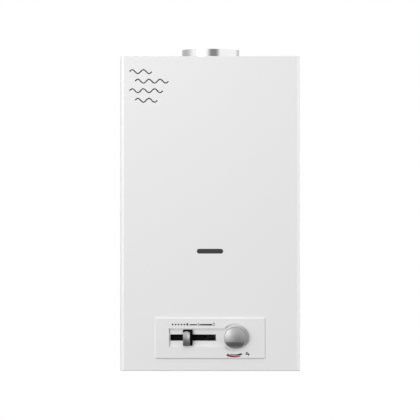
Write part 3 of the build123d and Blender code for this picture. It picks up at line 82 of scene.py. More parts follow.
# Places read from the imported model, in metres
COVER_LOW, COVER_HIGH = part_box("front_cover")
GUIDE_LOW, GUIDE_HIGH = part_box("slide_guide")
COLLAR_LOW, COLLAR_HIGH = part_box("flue_collar")
COVER_FRONT = COVER_LOW.y
PANEL_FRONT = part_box("control_panel")[0].y
SLOT_MIDDLE = (GUIDE_LOW + GUIDE_HIGH) / 2
KNOB_X, _, KNOB_Z = JOINT["knob_turn"]["pos_m"]


class HEATER_PG_colours(bpy.types.PropertyGroup):
    """Colours of the heater's finishes."""

    enamel: FloatVectorProperty(
        name="Enamel", description="White baked paint of the cover",
        subtype="COLOR", size=3, min=0, max=1, default=(0.80, 0.80, 0.80),
    )
    panel: FloatVectorProperty(
        name="Panel", description="White moulding of the control panel",
        subtype="COLOR", size=3, min=0, max=1, default=(0.77, 0.77, 0.77),
    )
    silver: FloatVectorProperty(
        name="Silver", description="Satin silver paint of the knob and the slider grip",
        subtype="COLOR", size=3, min=0, max=1, default=(0.43, 0.43, 0.435),
    )
    black: FloatVectorProperty(
        name="Black", description="Black mouldings",
        subtype="COLOR", size=3, min=0, max=1, default=(0.012, 0.012, 0.0125),
    )
    matt_black: FloatVectorProperty(
        name="Matt black", description="Slide guide, slider plate and rack",
        subtype="COLOR", size=3, min=0, max=1, default=(0.004, 0.004, 0.0042),
    )
    pane: FloatVectorProperty(
        name="Pane", description="Smoked glass of the sight window",
        subtype="COLOR", size=3, min=0, max=1, default=(0.052, 0.052, 0.053),
    )
    ink: FloatVectorProperty(
        name="Ink", description="Dark printing",
        subtype="COLOR", size=3, min=0, max=1, default=(0.012, 0.012, 0.014),
    )
    warm_ink: FloatVectorProperty(
        name="Warm ink", description="Red wedge of the temperature scale",
        subtype="COLOR", size=3, min=0, max=1, default=(0.25, 0.008, 0.022),
    )
    flue: FloatVectorProperty(
        name="Flue", description="Bright sheet of the flue collar",
        subtype="COLOR", size=3, min=0, max=1, default=(0.86, 0.86, 0.87),
    )
    zinc: FloatVectorProperty(
        name="Zinc", description="Zinc-coated sheet of the back and the inside",
        subtype="COLOR", size=3, min=0, max=1, default=(0.55, 0.56, 0.57),
    )
    copper: FloatVectorProperty(
        name="Copper", description="Copper of the heat cell and the pipes",
        subtype="COLOR", size=3, min=0, max=1, default=(0.70, 0.36, 0.22),
    )
    brass: FloatVectorProperty(
        name="Brass", description="Brass of the fittings",
        subtype="COLOR", size=3, min=0, max=1, default=(0.74, 0.53, 0.25),
    )
    stainless: FloatVectorProperty(
        name="Stainless", description="Pressed stainless sheet",
        subtype="COLOR", size=3, min=0, max=1, default=(0.58, 0.575, 0.56),
    )
    aluminium: FloatVectorProperty(
        name="Aluminium", description="Cast aluminium",
        subtype="COLOR", size=3, min=0, max=1, default=(0.60, 0.61, 0.62),
    )
    steel: FloatVectorProperty(
        name="Steel", description="Plated steel",
        subtype="COLOR", size=3, min=0, max=1, default=(0.62, 0.63, 0.64),
    )
    ceramic: FloatVectorProperty(
        name="Ceramic", description="Glazed ceramic of the electrodes",
        subtype="COLOR", size=3, min=0, max=1, default=(0.84, 0.83, 0.79),
    )
    rubber: FloatVectorProperty(
        name="Rubber", description="Moulded rubber of the diaphragm",
        subtype="COLOR", size=3, min=0, max=1, default=(0.03, 0.03, 0.031),
    )
    jacket: FloatVectorProperty(
        name="Jacket", description="Jackets of the battery cells",
        subtype="COLOR", size=3, min=0, max=1, default=(0.13, 0.15, 0.18),
    )
    coil: FloatVectorProperty(
        name="Coil", description="Moulding round the solenoid's coil",
        subtype="COLOR", size=3, min=0, max=1, default=(0.02, 0.021, 0.026),
    )
    floor: FloatVectorProperty(
        name="Floor", description="Pale floor of the stage",
        subtype="COLOR", size=3, min=0, max=1, default=(0.86, 0.86, 0.86),
    )


class HEATER_PG_sizes(bpy.types.PropertyGroup):
    """Sizes of the printing and the small trim."""

    ink_lift: FloatProperty(
        name="Ink lift", description="Height of the printing above the surface",
        subtype="DISTANCE", unit="LENGTH", default=0.05 * MM,
    )
    line_width: FloatProperty(
        name="Line width", description="Width of the drawn wave lines on the cover",
        subtype="DISTANCE", unit="LENGTH", default=2.2 * MM,
    )
    thread_pitch: FloatProperty(
        name="Thread pitch", description="Pitch of the half-inch pipe thread",
        subtype="DISTANCE", unit="LENGTH", default=1.814 * MM,
    )
    thread_depth: FloatProperty(
        name="Thread depth", description="Depth of the half-inch pipe thread",
        subtype="DISTANCE", unit="LENGTH", default=1.16 * MM,
    )
    round_steps: IntProperty(
        name="Round steps", description="Segments of the collar and the floor; a nipple has half as many",
        min=24, default=96,
    )


class HEATER_PG_stage(bpy.types.PropertyGroup):
    """Floor, light and camera."""

    floor_drop: FloatProperty(
        name="Floor drop", description="Floor below the heater",
        subtype="DISTANCE", unit="LENGTH", default=0.8,
    )
    floor_radius: FloatProperty(
        name="Floor radius", description="Radius of the round floor",
        subtype="DISTANCE", unit="LENGTH", default=7.0,
    )
    key_energy: FloatProperty(
        name="Key light", description="Power of the light that glosses mirror at the upper left",
        subtype="POWER", unit="POWER", default=13.0,
    )
    top_energy: FloatProperty(
        name="Top light", description="Power of the soft light near the top of the cover",
        subtype="POWER", unit="POWER", default=2.0,
    )
    under_energy: FloatProperty(
        name="Under light", description="Power of the soft light below and behind",
        subtype="POWER", unit="POWER", default=3.0,
    )
    left_energy: FloatProperty(
        name="Left light", description="Power of the large far light at the left",
        subtype="POWER", unit="POWER", default=378.0,
    )
    left_gloss: FloatProperty(
        name="Left gloss", description="Power of the left light as glossy surfaces mirror it",
        subtype="POWER", unit="POWER", default=100.0,
    )
    side_energy: FloatProperty(
        name="Side light", description="Power of the soft light at the right",
        subtype="POWER", unit="POWER", default=17.0,
    )
    room_light: FloatProperty(
        name="Room light", description="Strength of the light from all round", min=0, default=0.95,
    )
    mirrored_light: FloatProperty(
        name="Mirrored room", description="Strength of the room as glossy surfaces mirror it",
        min=0, default=1.1,
    )
    camera_distance: FloatProperty(
        name="Camera distance", description="From the cover's front to the camera",
        subtype="DISTANCE", unit="LENGTH", default=4.5,
    )
    camera_turn: FloatProperty(
        name="Camera turn", description="Camera to the right of the cover's middle",
        subtype="ANGLE", unit="ROTATION", default=math.radians(1),
    )
    eye_height: FloatProperty(
        name="Eye height", description="Camera above the middle of the wall holes",
        subtype="DISTANCE", unit="LENGTH", default=6.8 * MM,
    )
    lens: FloatProperty(
        name="Lens", description="Focal length on a 36 mm sensor", unit="CAMERA", default=204.4,
    )


def feed(tree, node, values):
    """Sets inputs of a node; an input that is given a socket is linked to it."""
    for label, value in values.items():
        if isinstance(value, bpy.types.NodeSocket):
            tree.links.new(value, node.inputs[label])
        else:
            node.inputs[label].default_value = value


def add_node(tree, kind, values, **settings):
    """Adds a node with its settings and inputs."""
    node = tree.nodes.new(kind)
    for name, setting in settings.items():
        setattr(node, name, setting)
    feed(tree, node, values)
    return node


def maths(tree, operation, *operands, clamp=False):
    """Result of an operation on numbers and sockets."""
    node = add_node(tree, "ShaderNodeMath", dict(enumerate(operands)), operation=operation, use_clamp=clamp)
    return node.outputs[0]


def centred(tree, share):
    """A share from 0 to 1, moved to lie round zero."""
    return maths(tree, "SUBTRACT", share, 0.5)


def tinted(tree, colour, factor):
    """A colour made lighter or darker by a factor."""
    return add_node(tree, "ShaderNodeVectorMath", {0: colour, "Scale": factor}, operation="SCALE").outputs[0]


def piece_place(tree):
    """The place on a piece, in the piece's own coordinates."""
    return tree.nodes.new("ShaderNodeTexCoord").outputs["Object"]


def noise_at(tree, place, scale, detail):
    """Smooth noise over a place."""
    return add_node(tree, "ShaderNodeTexNoise", {"Vector": place, "Scale": scale, "Detail": detail})


def group_frame(name, inputs, outputs):
    """Starts a shader node group with named sockets; returns it with its inner inputs and its last node."""
    tree = bpy.data.node_groups.new(name, "ShaderNodeTree")
    for label, kind, value in inputs:
        socket = tree.interface.new_socket(name=label, in_out="INPUT", socket_type=kind)
        socket.default_value = value
    for label, kind in outputs:
        tree.interface.new_socket(name=label, in_out="OUTPUT", socket_type=kind)
    return tree, tree.nodes.new("NodeGroupInput").outputs, tree.nodes.new("NodeGroupOutput")


def colour_drift_group():
    """Slow, faint change of a colour over the surface."""
    tree, given, leave = group_frame(
        "colour_drift",
        [("Colour", "NodeSocketColor", (0.8, 0.8, 0.8, 1)),
         ("Scale", "NodeSocketFloat", 6.0),
         ("Amount", "NodeSocketFloat", 0.03)],
        [("Colour", "NodeSocketColor")],
    )
    noise = noise_at(tree, piece_place(tree), given["Scale"], detail=3)
    swing = maths(tree, "MULTIPLY", centred(tree, noise.outputs["Fac"]), given["Amount"])
    lift = maths(tree, "MULTIPLY_ADD", swing, 2, 1)
    feed(tree, leave, {"Colour": tinted(tree, given["Colour"], lift)})


def gloss_drift_group():
    """Slow change of roughness over the surface, as handling and cleaning leave it."""
    tree, given, leave = group_frame(
        "gloss_drift",
        [("Roughness", "NodeSocketFloat", 0.4),
         ("Scale", "NodeSocketFloat", 12.0),
         ("Amount", "NodeSocketFloat", 0.08)],
        [("Roughness", "NodeSocketFloat")],
    )
    noise = noise_at(tree, piece_place(tree), given["Scale"], detail=4)
    swing = centred(tree, noise.outputs["Fac"])
    rough = maths(tree, "MULTIPLY_ADD", swing, given["Amount"], given["Roughness"], clamp=True)
    feed(tree, leave, {"Roughness": rough})


def grain_group():
    """Fine relief of sprayed paint, moulded plastic or cast metal."""
    tree, given, leave = group_frame(
        "fine_grain",
        [("Scale", "NodeSocketFloat", 900.0),
         ("Strength", "NodeSocketFloat", 0.05),
         ("Depth", "NodeSocketFloat", 0.0002)],
        [("Normal", "NodeSocketVector")],
    )
    noise = noise_at(tree, piece_place(tree), given["Scale"], detail=2)
    bump = add_node(
        tree, "ShaderNodeBump",
        {"Height": noise.outputs["Fac"], "Strength": given["Strength"], "Distance": given["Depth"]},
    )
    feed(tree, leave, {"Normal": bump.outputs["Normal"]})


def drawn_lines_group():
    """Long fine lines left by drawing or brushing, along the axis with the small stretch value."""
    tree, given, leave = group_frame(
        "drawn_lines",
        [("Stretch", "NodeSocketVector", (40.0, 40.0, 2500.0)),
         ("Roughness", "NodeSocketFloat", 0.2),
         ("Amount", "NodeSocketFloat", 0.12),
         ("Strength", "NodeSocketFloat", 0.05)],
        [("Roughness", "NodeSocketFloat"), ("Normal", "NodeSocketVector")],
    )
    stretched = add_node(
        tree, "ShaderNodeVectorMath", {0: piece_place(tree), 1: given["Stretch"]}, operation="MULTIPLY",
    )
    noise = noise_at(tree, stretched.outputs[0], scale=1, detail=3)
    swing = centred(tree, noise.outputs["Fac"])
    rough = maths(tree, "MULTIPLY_ADD", swing, given["Amount"], given["Roughness"], clamp=True)
    bump = add_node(
        tree, "ShaderNodeBump",
        {"Height": noise.outputs["Fac"], "Strength": given["Strength"], "Distance": 0.1 * MM},
    )
    feed(tree, leave, {"Roughness": rough, "Normal": bump.outputs["Normal"]})


def spangle_group():
    """Crystal patches of hot-dip zinc: each cell has its own tone and gloss."""
    tree, given, leave = group_frame(
        "zinc_spangle",
        [("Colour", "NodeSocketColor", (0.55, 0.56, 0.57, 1)),
         ("Scale", "NodeSocketFloat", 120.0),
         ("Amount", "NodeSocketFloat", 0.22)],
        [("Colour", "NodeSocketColor"), ("Roughness", "NodeSocketFloat")],
    )
    place = piece_place(tree)
    ragged = noise_at(tree, place, scale=260, detail=2)
    ragged_reach = (8 * MM, 8 * MM, 8 * MM)
    shifted = add_node(
        tree, "ShaderNodeVectorMath", {0: ragged.outputs["Color"], 1: ragged_reach, 2: place},
        operation="MULTIPLY_ADD",
    )
    cells = add_node(tree, "ShaderNodeTexVoronoi", {"Vector": shifted.outputs[0], "Scale": given["Scale"]})
    tone, shine, _ = add_node(tree, "ShaderNodeSeparateColor", {0: cells.outputs["Color"]}).outputs
    swing = maths(tree, "MULTIPLY", centred(tree, tone), given["Amount"])
    gloss = add_node(tree, "ShaderNodeMapRange", {"Value": shine, "To Min": 0.34, "To Max": 0.56})
    feed(tree, leave, {
        "Colour": tinted(tree, given["Colour"], maths(tree, "ADD", swing, 1)),
        "Roughness": gloss.outputs["Result"],
    })


EFFECTS = {
    "colour_drift": colour_drift_group,
    "gloss_drift": gloss_drift_group,
    "fine_grain": grain_group,
    "drawn_lines": drawn_lines_group,
    "zinc_spangle": spangle_group,
}


def place_effect(tree, effect, **values):
    """Places a shared effect in a material with that material's own values; returns what it puts out."""
    if effect not in bpy.data.node_groups:
        EFFECTS[effect]()
    node = tree.nodes.new("ShaderNodeGroup")
    node.node_tree = bpy.data.node_groups[effect]
    feed(tree, node, values)
    return node.outputs


def bare_material(name):
    """A new material and its shader."""
    material = bpy.data.materials.new(name)
    material.use_nodes = True
    return material, material.node_tree, material.node_tree.nodes["Principled BSDF"]


def coated(name, colour, metallic, roughness, drift, gloss, grain, plain=None):
    """Paint, plastic, glass, rubber, glaze or cast metal: drifting colour and gloss over a fine grain."""
    material, tree, shader = bare_material(name)
    tone = place_effect(tree, "colour_drift", Colour=colour, Scale=drift[0], Amount=drift[1])
    sheen = place_effect(tree, "gloss_drift", Roughness=roughness, Scale=gloss[0], Amount=gloss[1])
    relief = place_effect(tree, "fine_grain", Scale=grain[0], Strength=grain[1], Depth=grain[2])
    feed(tree, shader, {
        "Base Color": tone["Colour"], "Metallic": metallic, "Roughness": sheen["Roughness"],
        "Normal": relief["Normal"], **(plain or {}),
    })
    return material


def drawn(name, colour, roughness, stretch, amount, strength, drift):
    """Drawn or brushed metal: fine lines in gloss and relief."""
    material, tree, shader = bare_material(name)
    tone = place_effect(tree, "colour_drift", Colour=colour, Scale=drift[0], Amount=drift[1])
    lines = place_effect(
        tree, "drawn_lines", Stretch=stretch, Roughness=roughness, Amount=amount, Strength=strength,
    )
    feed(tree, shader, {
        "Base Color": tone["Colour"], "Metallic": 1, "Roughness": lines["Roughness"],
        "Normal": lines["Normal"],
    })
    return material


def spangled(name, colour, metallic, grain):
    """Hot-dip zinc on sheet: crystal patches over a fine grain."""
    material, tree, shader = bare_material(name)
    patches = place_effect(tree, "zinc_spangle", Colour=colour)
    relief = place_effect(tree, "fine_grain", Scale=grain[0], Strength=grain[1], Depth=grain[2])
    feed(tree, shader, {
        "Base Color": patches["Colour"], "Metallic": metallic, "Roughness": patches["Roughness"],
        "Normal": relief["Normal"],
    })
    return material


# Finishes by slot: maker, material, colour, then the maker's further values in its own order. A drift or a
# gloss is a scale and an amount, a grain a scale, a strength and a depth.
FINISHES = {
    "case_paint": (
        coated, "enamel_white", "enamel", 0, 0.34, (3.0, 0.006), (9.0, 0.05), (420.0, 0.05, 0.0002),
        {"Coat Weight": 0.5, "Coat Roughness": 0.25},
    ),
    "panel_plastic": (
        coated, "panel_white", "panel", 0, 0.58, (5.0, 0.008), (20.0, 0.06), (1500.0, 0.12, 0.0001),
        {"Specular IOR Level": 0.3},
    ),
    "black_plastic": (
        coated, "plastic_black", "black", 0, 0.42, (30.0, 0.15), (40.0, 0.1), (1800.0, 0.15, 0.0001),
        {"Specular IOR Level": 0.25},
    ),
    "matt_black": (
        coated, "plastic_matt_black", "matt_black", 0, 0.5, (30.0, 0.2), (40.0, 0.1), (1800.0, 0.15, 0.0001),
        {"Specular IOR Level": 0.1},
    ),
    "silver_plastic": (
        coated, "silver_paint", "silver", 0.9, 0.5, (30.0, 0.04), (40.0, 0.05), (2600.0, 0.06, 0.0001),
    ),
    "window_pane": (
        coated, "smoked_pane", "pane", 0, 0.14, (40.0, 0.1), (60.0, 0.05), (300.0, 0.01, 0.0001),
        {"Transmission Weight": 0.15},
    ),
    "flue_steel": (drawn, "flue_bright", "flue", 0.16, (30.0, 30.0, 2600.0), 0.10, 0.03, (7.0, 0.04)),
    "galvanised": (spangled, "zinc_sheet", "zinc", 0.9, (500.0, 0.04, 0.0002)),
    "copper": (coated, "copper_dull", "copper", 1, 0.34, (22.0, 0.22), (30.0, 0.2), (700.0, 0.05, 0.0002)),
    "brass": (coated, "brass_pressed", "brass", 1, 0.32, (35.0, 0.10), (60.0, 0.12), (1200.0, 0.08, 0.0001)),
    "stainless": (
        drawn, "stainless_pressed", "stainless", 0.30, (2200.0, 60.0, 60.0), 0.12, 0.05, (9.0, 0.05),
    ),
    "cast_aluminium": (
        coated, "aluminium_cast", "aluminium", 1, 0.48, (50.0, 0.1), (70.0, 0.12), (1600.0, 0.25, 0.0002),
    ),
    "steel": (drawn, "steel_plated", "steel", 0.26, (60.0, 1800.0, 1800.0), 0.12, 0.05, (9.0, 0.05)),
    "electrode_ceramic": (
        coated, "ceramic_glazed", "ceramic", 0, 0.22, (40.0, 0.05), (50.0, 0.06), (900.0, 0.04, 0.0001),
    ),
    "diaphragm_rubber": (
        coated, "rubber_moulded", "rubber", 0, 0.72, (60.0, 0.2), (60.0, 0.12), (1500.0, 0.2, 0.0001),
    ),
    "cell_jacket": (
        coated, "cell_jacket_grey", "jacket", 0.2, 0.34, (50.0, 0.06), (50.0, 0.06), (900.0, 0.03, 0.0001),
    ),
    "solenoid_coil": (
        coated, "coil_moulding", "coil", 0, 0.5, (50.0, 0.2), (60.0, 0.1), (1200.0, 0.2, 0.0001),
    ),
    "ink": (coated, "ink_dark", "ink", 0, 0.5, (80.0, 0.1), (80.0, 0.06), (2000.0, 0.03, 0.0001)),
    "warm_ink": (coated, "ink_red", "warm_ink", 0, 0.5, (80.0, 0.06), (80.0, 0.06), (2000.0, 0.03, 0.0001)),
}
made_finishes = {}


def chosen_colour(name):
    """A colour of the heater, with full cover."""
    return (*getattr(bpy.context.scene.heater_colours, name), 1)


def finish(slot):
    """The finish of a slot, made when it is first asked for."""
    if slot not in made_finishes:
        maker, material, colour, *values = FINISHES[slot]
        made_finishes[slot] = maker(material, chosen_colour(colour), *values)
    return made_finishes[slot]


def finish_nodes(*names, look=None):
    """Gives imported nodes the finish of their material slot, or another look."""
    for name in names:
        shown = frame["nodes"][name]
        if not shown.material_slots:
            shown.data.materials.append(None)
        for holder in shown.material_slots:
            holder.material = finish(look or NODE_SLOT[name])


def place_piece(name, bm, look, body, replaced=()):
    """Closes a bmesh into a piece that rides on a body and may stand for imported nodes."""
    bmesh.ops.remove_doubles(bm, verts=bm.verts, dist=MERGE_DISTANCE)
    bmesh.ops.recalc_face_normals(bm, faces=bm.faces)
    mesh = bpy.data.meshes.new(name)
    bm.to_mesh(mesh)
    bm.free()
    if not mesh.polygons:
        raise RuntimeError(f"{name} came out with no faces")
    mesh.polygons.foreach_set("use_smooth", [True] * len(mesh.polygons))
    mesh.set_sharp_from_angle(angle=SHARP_ANGLE)
    mesh.materials.append(finish(look))
    piece = bpy.data.objects.new(name, mesh)
    bpy.context.scene.collection.objects.link(piece)
    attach(piece, body)
    if replaced:
        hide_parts(*replaced)


def new_verts(made):
    """The vertices that a bmesh operator made."""
    return [part for part in made["geom"] if isinstance(part, bmesh.types.BMVert)]


def spun(bm, profile, centre, steps):
    """Spins an open profile of (radius, height) points once round an upright axis."""
    verts = [bm.verts.new((centre.x + radius, centre.y, height)) for radius, height in profile]
    edges = [bm.edges.new(pair) for pair in zip(verts, verts[1:])]
    bmesh.ops.spin(
        bm, geom=verts + edges, cent=(centre.x, centre.y, 0), axis=(0, 0, 1), angle=2 * math.pi, steps=steps,
        use_merge=True,
    )


class HEATER_OT_case(bpy.types.Operator):
    """Finish the painted cover, the zinc back and floor plates and the heat cell's brackets"""

    bl_idname = "heater.case"
    bl_label = "Case sheets"

    def execute(self, context):
        finish_nodes("front_cover", "back_plate", "floor_plate", "cell_brackets")
        return {"FINISHED"}


SCREW_HEAD_RADIUS = 4 * MM
SCREW_SHANK_RADIUS = 2 * MM
SCREW_REACH = 7.9 * MM
SCREW_TIP = 1 * MM
# Shares of the head's radius and height: the flat crown, and the head's outline below it
CROWN_SHARE = 0.6
HEAD_OUTLINE = ((0.85, 0.8), (1, 0.35), (1, 0))
# The crown's cells to a side, of which a cross sinks in by a share of the head's height
CROWN_CELLS = 5
RECESS_SHARE = 0.6


def cross_head_screw(head_height):
    """A screw along Z with a cross recess, the underside of its head at zero."""
    crown = SCREW_HEAD_RADIUS * CROWN_SHARE
    cell = 2 * crown / CROWN_CELLS
    bm = bmesh.new()
    bmesh.ops.create_grid(bm, x_segments=CROWN_CELLS, y_segments=CROWN_CELLS, size=crown)
    bmesh.ops.translate(bm, verts=bm.verts, vec=(0, 0, head_height))
    for vert in [vert for vert in bm.verts if vert.is_boundary]:
        vert.co.xy = vert.co.xy.normalized() * crown
    middles = [(face, face.calc_center_median()) for face in bm.faces]
    cross = [
        face for face, spot in middles
        if min(abs(spot.x), abs(spot.y)) < cell / 2 and max(abs(spot.x), abs(spot.y)) < 1.5 * cell
    ]
    sunk = bmesh.ops.extrude_face_region(bm, geom=cross)
    bmesh.ops.delete(bm, geom=cross, context="FACES")
    bmesh.ops.translate(bm, verts=new_verts(sunk), vec=(0, 0, -head_height * RECESS_SHARE))
    outline = [(SCREW_HEAD_RADIUS * out, head_height * up) for out, up in HEAD_OUTLINE]
    outline += [(SCREW_SHANK_RADIUS, 0), (SCREW_SHANK_RADIUS, SCREW_TIP - SCREW_REACH)]
    radius, height = crown, head_height
    rim = [edge for edge in bm.edges if edge.is_boundary]
    for next_radius, next_height in outline:
        grown = bmesh.ops.extrude_edge_only(bm, edges=rim)
        ring = new_verts(grown)
        rim = [part for part in grown["geom"] if isinstance(part, bmesh.types.BMEdge) and part.is_boundary]
        bmesh.ops.scale(bm, verts=ring, vec=(next_radius / radius, next_radius / radius, 1))
        bmesh.ops.translate(bm, verts=ring, vec=(0, 0, next_height - height))
        radius, height = next_radius, next_height
    bmesh.ops.pointmerge(bm, verts=ring, merge_co=(0, 0, -SCREW_REACH))
    return bm


class HEATER_OT_cover_screws(bpy.types.Operator):
    """Model the four cross-head screws of the cover"""

    bl_idname = "heater.cover_screws"
    bl_label = "Cover screws"

    def execute(self, context):
        low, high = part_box("cover_screws")
        bm = bmesh.new()
        for side in (-1, 1):
            for up in (low.z + SCREW_HEAD_RADIUS, high.z - SCREW_HEAD_RADIUS):
                screw = cross_head_screw(cad_high.x - COVER_HIGH.x)
                turned = (
                    Matrix.Translation((side * COVER_HIGH.x, (low.y + high.y) / 2, up))
                    @ Matrix.Rotation(side * math.pi / 2, 4, "Y")
                )
                bmesh.ops.transform(screw, matrix=turned, verts=screw.verts)
                holder = bpy.data.meshes.new("screw_step")
                screw.to_mesh(holder)
                screw.free()
                bm.from_mesh(holder)
                bpy.data.meshes.remove(holder)
        place_piece("cover_screw_set", bm, "steel", "case", ["cover_screws"])
        return {"FINISHED"}


# How far the collar's flange and its stop stand out from its wall, and the wall's thickness
COLLAR_FLANGE = 5 * MM
COLLAR_STOP = 1 * MM
COLLAR_SHEET = 1 * MM


class HEATER_OT_flue(bpy.types.Operator):
    """Spin the flue collar with its rolled rim and finish the draught hood"""

    bl_idname = "heater.flue"
    bl_label = "Flue collar"

    def execute(self, context):
        flange = (COLLAR_HIGH.x - COLLAR_LOW.x) / 2
        outer = flange - COLLAR_FLANGE
        stop = outer + COLLAR_STOP
        bore = outer - COLLAR_SHEET
        low, rim, deck = COLLAR_LOW.z, COLLAR_HIGH.z, COVER_HIGH.z
        # Each point is a wall and the mm outside it, then a level and the mm above it
        outline = (
            (bore, 0, low, 0), (flange, 0, low, 0), (flange, 0, low, 1), (stop, 0.6, low, 1),
            (stop, 0, low, 1.6), (stop, 0, deck, -0.2), (stop, -0.15, deck, 0.25),
            (outer, 0.15, deck, 0.85), (outer, 0, deck, 1.2), (outer, 0, deck, 1.4), (outer, 0, rim, -0.7),
            (outer, 0, rim, -0.5), (outer, -0.15, rim, -0.15), (outer, -0.5, rim, 0),
            (bore, 0.15, rim, -0.15), (bore, 0, rim, -0.5), (bore, 0, low, 0),
        )
        profile = [(wall + out * MM, level + up * MM) for wall, out, level, up in outline]
        bm = bmesh.new()
        spun(bm, profile, (COLLAR_LOW + COLLAR_HIGH) / 2, context.scene.heater_sizes.round_steps)
        place_piece("flue_collar_drawn", bm, "flue_steel", "case", ["flue_collar"])
        finish_nodes("draught_hood")
        return {"FINISHED"}


class HEATER_OT_window(bpy.types.Operator):
    """Finish the sight window's smoked pane and its retainer"""

    bl_idname = "heater.window"
    bl_label = "Sight window"

    def execute(self, context):
        finish_nodes("window_glass", "window_retainer")
        return {"FINISHED"}


# Segments of a printed drop and flame, and of an arc or one wave
DROP_STEPS, FLAME_STEPS, CURVE_STEPS = 24, 28, 32


def printed_strip(bm, origin, steps, spot):
    """Adds a flat strip of print: spot(u, v) gives mm from the origin, along the strip and across it."""
    made = bmesh.ops.create_grid(bm, x_segments=steps, y_segments=1, size=0.5)
    for vert in made["verts"]:
        x, z = spot(vert.co.x + 0.5, vert.co.y + 0.5)
        vert.co = origin + Vector((x, 0, z)) * MM


def printed_bar(bm, origin, left, right, middle, height, end_height=None):
    """Adds a straight printed bar, in mm from the origin, which may have another height at its right end."""
    growth = (end_height or height) - height
    printed_strip(
        bm, origin, 1,
        lambda u, v: (left + (right - left) * u, middle + (height + growth * u) * (v - 0.5)),
    )


def printed_drop(bm, origin, x, z, radius, point):
    """Adds a printed drop, in mm from the origin: a disc drawn out to a point above."""
    centre = origin + Vector((x, 0, z)) * MM
    facing = Matrix.Translation(centre) @ Matrix.Rotation(math.pi / 2, 4, "X")
    made = bmesh.ops.create_circle(bm, cap_ends=True, segments=DROP_STEPS, radius=radius * MM, matrix=facing)
    for vert in made["verts"]:
        rise = (vert.co.z - centre.z) / (radius * MM)
        if rise > 0:
            vert.co.x = centre.x + (vert.co.x - centre.x) * (1 - rise * rise)
            vert.co.z = centre.z + (vert.co.z - centre.z) * (1 + (point / radius - 1) * rise)


def printed_flame(bm, origin, x, z, half_width, half_height, line):
    """Adds a printed flame outline, in mm from the origin: a closed loop, pointed above and round below."""

    def spot(u, v):
        turn = 2 * math.pi * u
        grow = line * (v - 0.5)
        narrowing = 0.5 * (1 - math.cos(turn / 2) ** 8) + 0.5 * math.sin(turn / 2) ** 2
        return (
            x + (half_width * narrowing + grow) * math.sin(turn),
            z + (half_height + grow) * math.cos(turn),
        )

    printed_strip(bm, origin, FLAME_STEPS, spot)


def printed_wedge(bm, origin, from_deg, to_deg, from_radius, to_radius, from_width, to_width):
    """Adds a printed arc below the origin, in mm, with its angles taken from straight down."""

    def spot(u, v):
        angle = math.radians(from_deg + (to_deg - from_deg) * u)
        width = from_width + (to_width - from_width) * u
        reach = from_radius + (to_radius - from_radius) * u + width * (v - 0.5)
        return reach * math.sin(angle), -reach * math.cos(angle)

    printed_strip(bm, origin, CURVE_STEPS, spot)


def printed_waves(bm, origin, x, z, waves, length, height, line):
    """Adds a row of waves in a line of even width, in mm from the origin."""

    def spot(u, v):
        turn = 2 * math.pi * waves * u
        lean = math.atan(math.cos(turn) * 2 * math.pi * height / length)
        across = (v - 0.5) * line
        return (
            x + waves * length * u - math.sin(lean) * across,
            z + height * math.sin(turn) + math.cos(lean) * across,
        )

    printed_strip(bm, origin, CURVE_STEPS * waves, spot)


def ink_up(bm, lift):
    """Joins the ends of printed loops, then gives flat print its ink thickness, towards the viewer."""
    bmesh.ops.remove_doubles(bm, verts=bm.verts, dist=MERGE_DISTANCE)
    grown = bmesh.ops.extrude_face_region(bm, geom=bm.faces[:])
    bmesh.ops.translate(bm, verts=new_verts(grown), vec=(0, -lift, 0))


# Wave lines on the cover: where the first row starts, near the upper left corner, then in mm a wave's length
# and height, the step down to the next row, and each row's indent and number of waves
WAVES_START = Vector((COVER_LOW.x + 18 * MM, COVER_FRONT, COVER_HIGH.z - 29 * MM))
WAVE_LENGTH, WAVE_HEIGHT, WAVE_ROW_STEP = 21, 3.6, 18
WAVE_ROWS = ((0, 2), (10.5, 3), (0, 3), (10.5, 2))


class HEATER_OT_wave_print(bpy.types.Operator):
    """Print thin wave lines at the upper left of the cover"""

    bl_idname = "heater.wave_print"
    bl_label = "Wave print"

    def execute(self, context):
        sizes = context.scene.heater_sizes
        bm = bmesh.new()
        for row, (indent, waves) in enumerate(WAVE_ROWS):
            printed_waves(
                bm, WAVES_START, indent, -row * WAVE_ROW_STEP, waves, WAVE_LENGTH, WAVE_HEIGHT,
                sizes.line_width / MM,
            )
        ink_up(bm, sizes.ink_lift)
        place_piece("wave_lines", bm, "ink", "case")
        return {"FINISHED"}


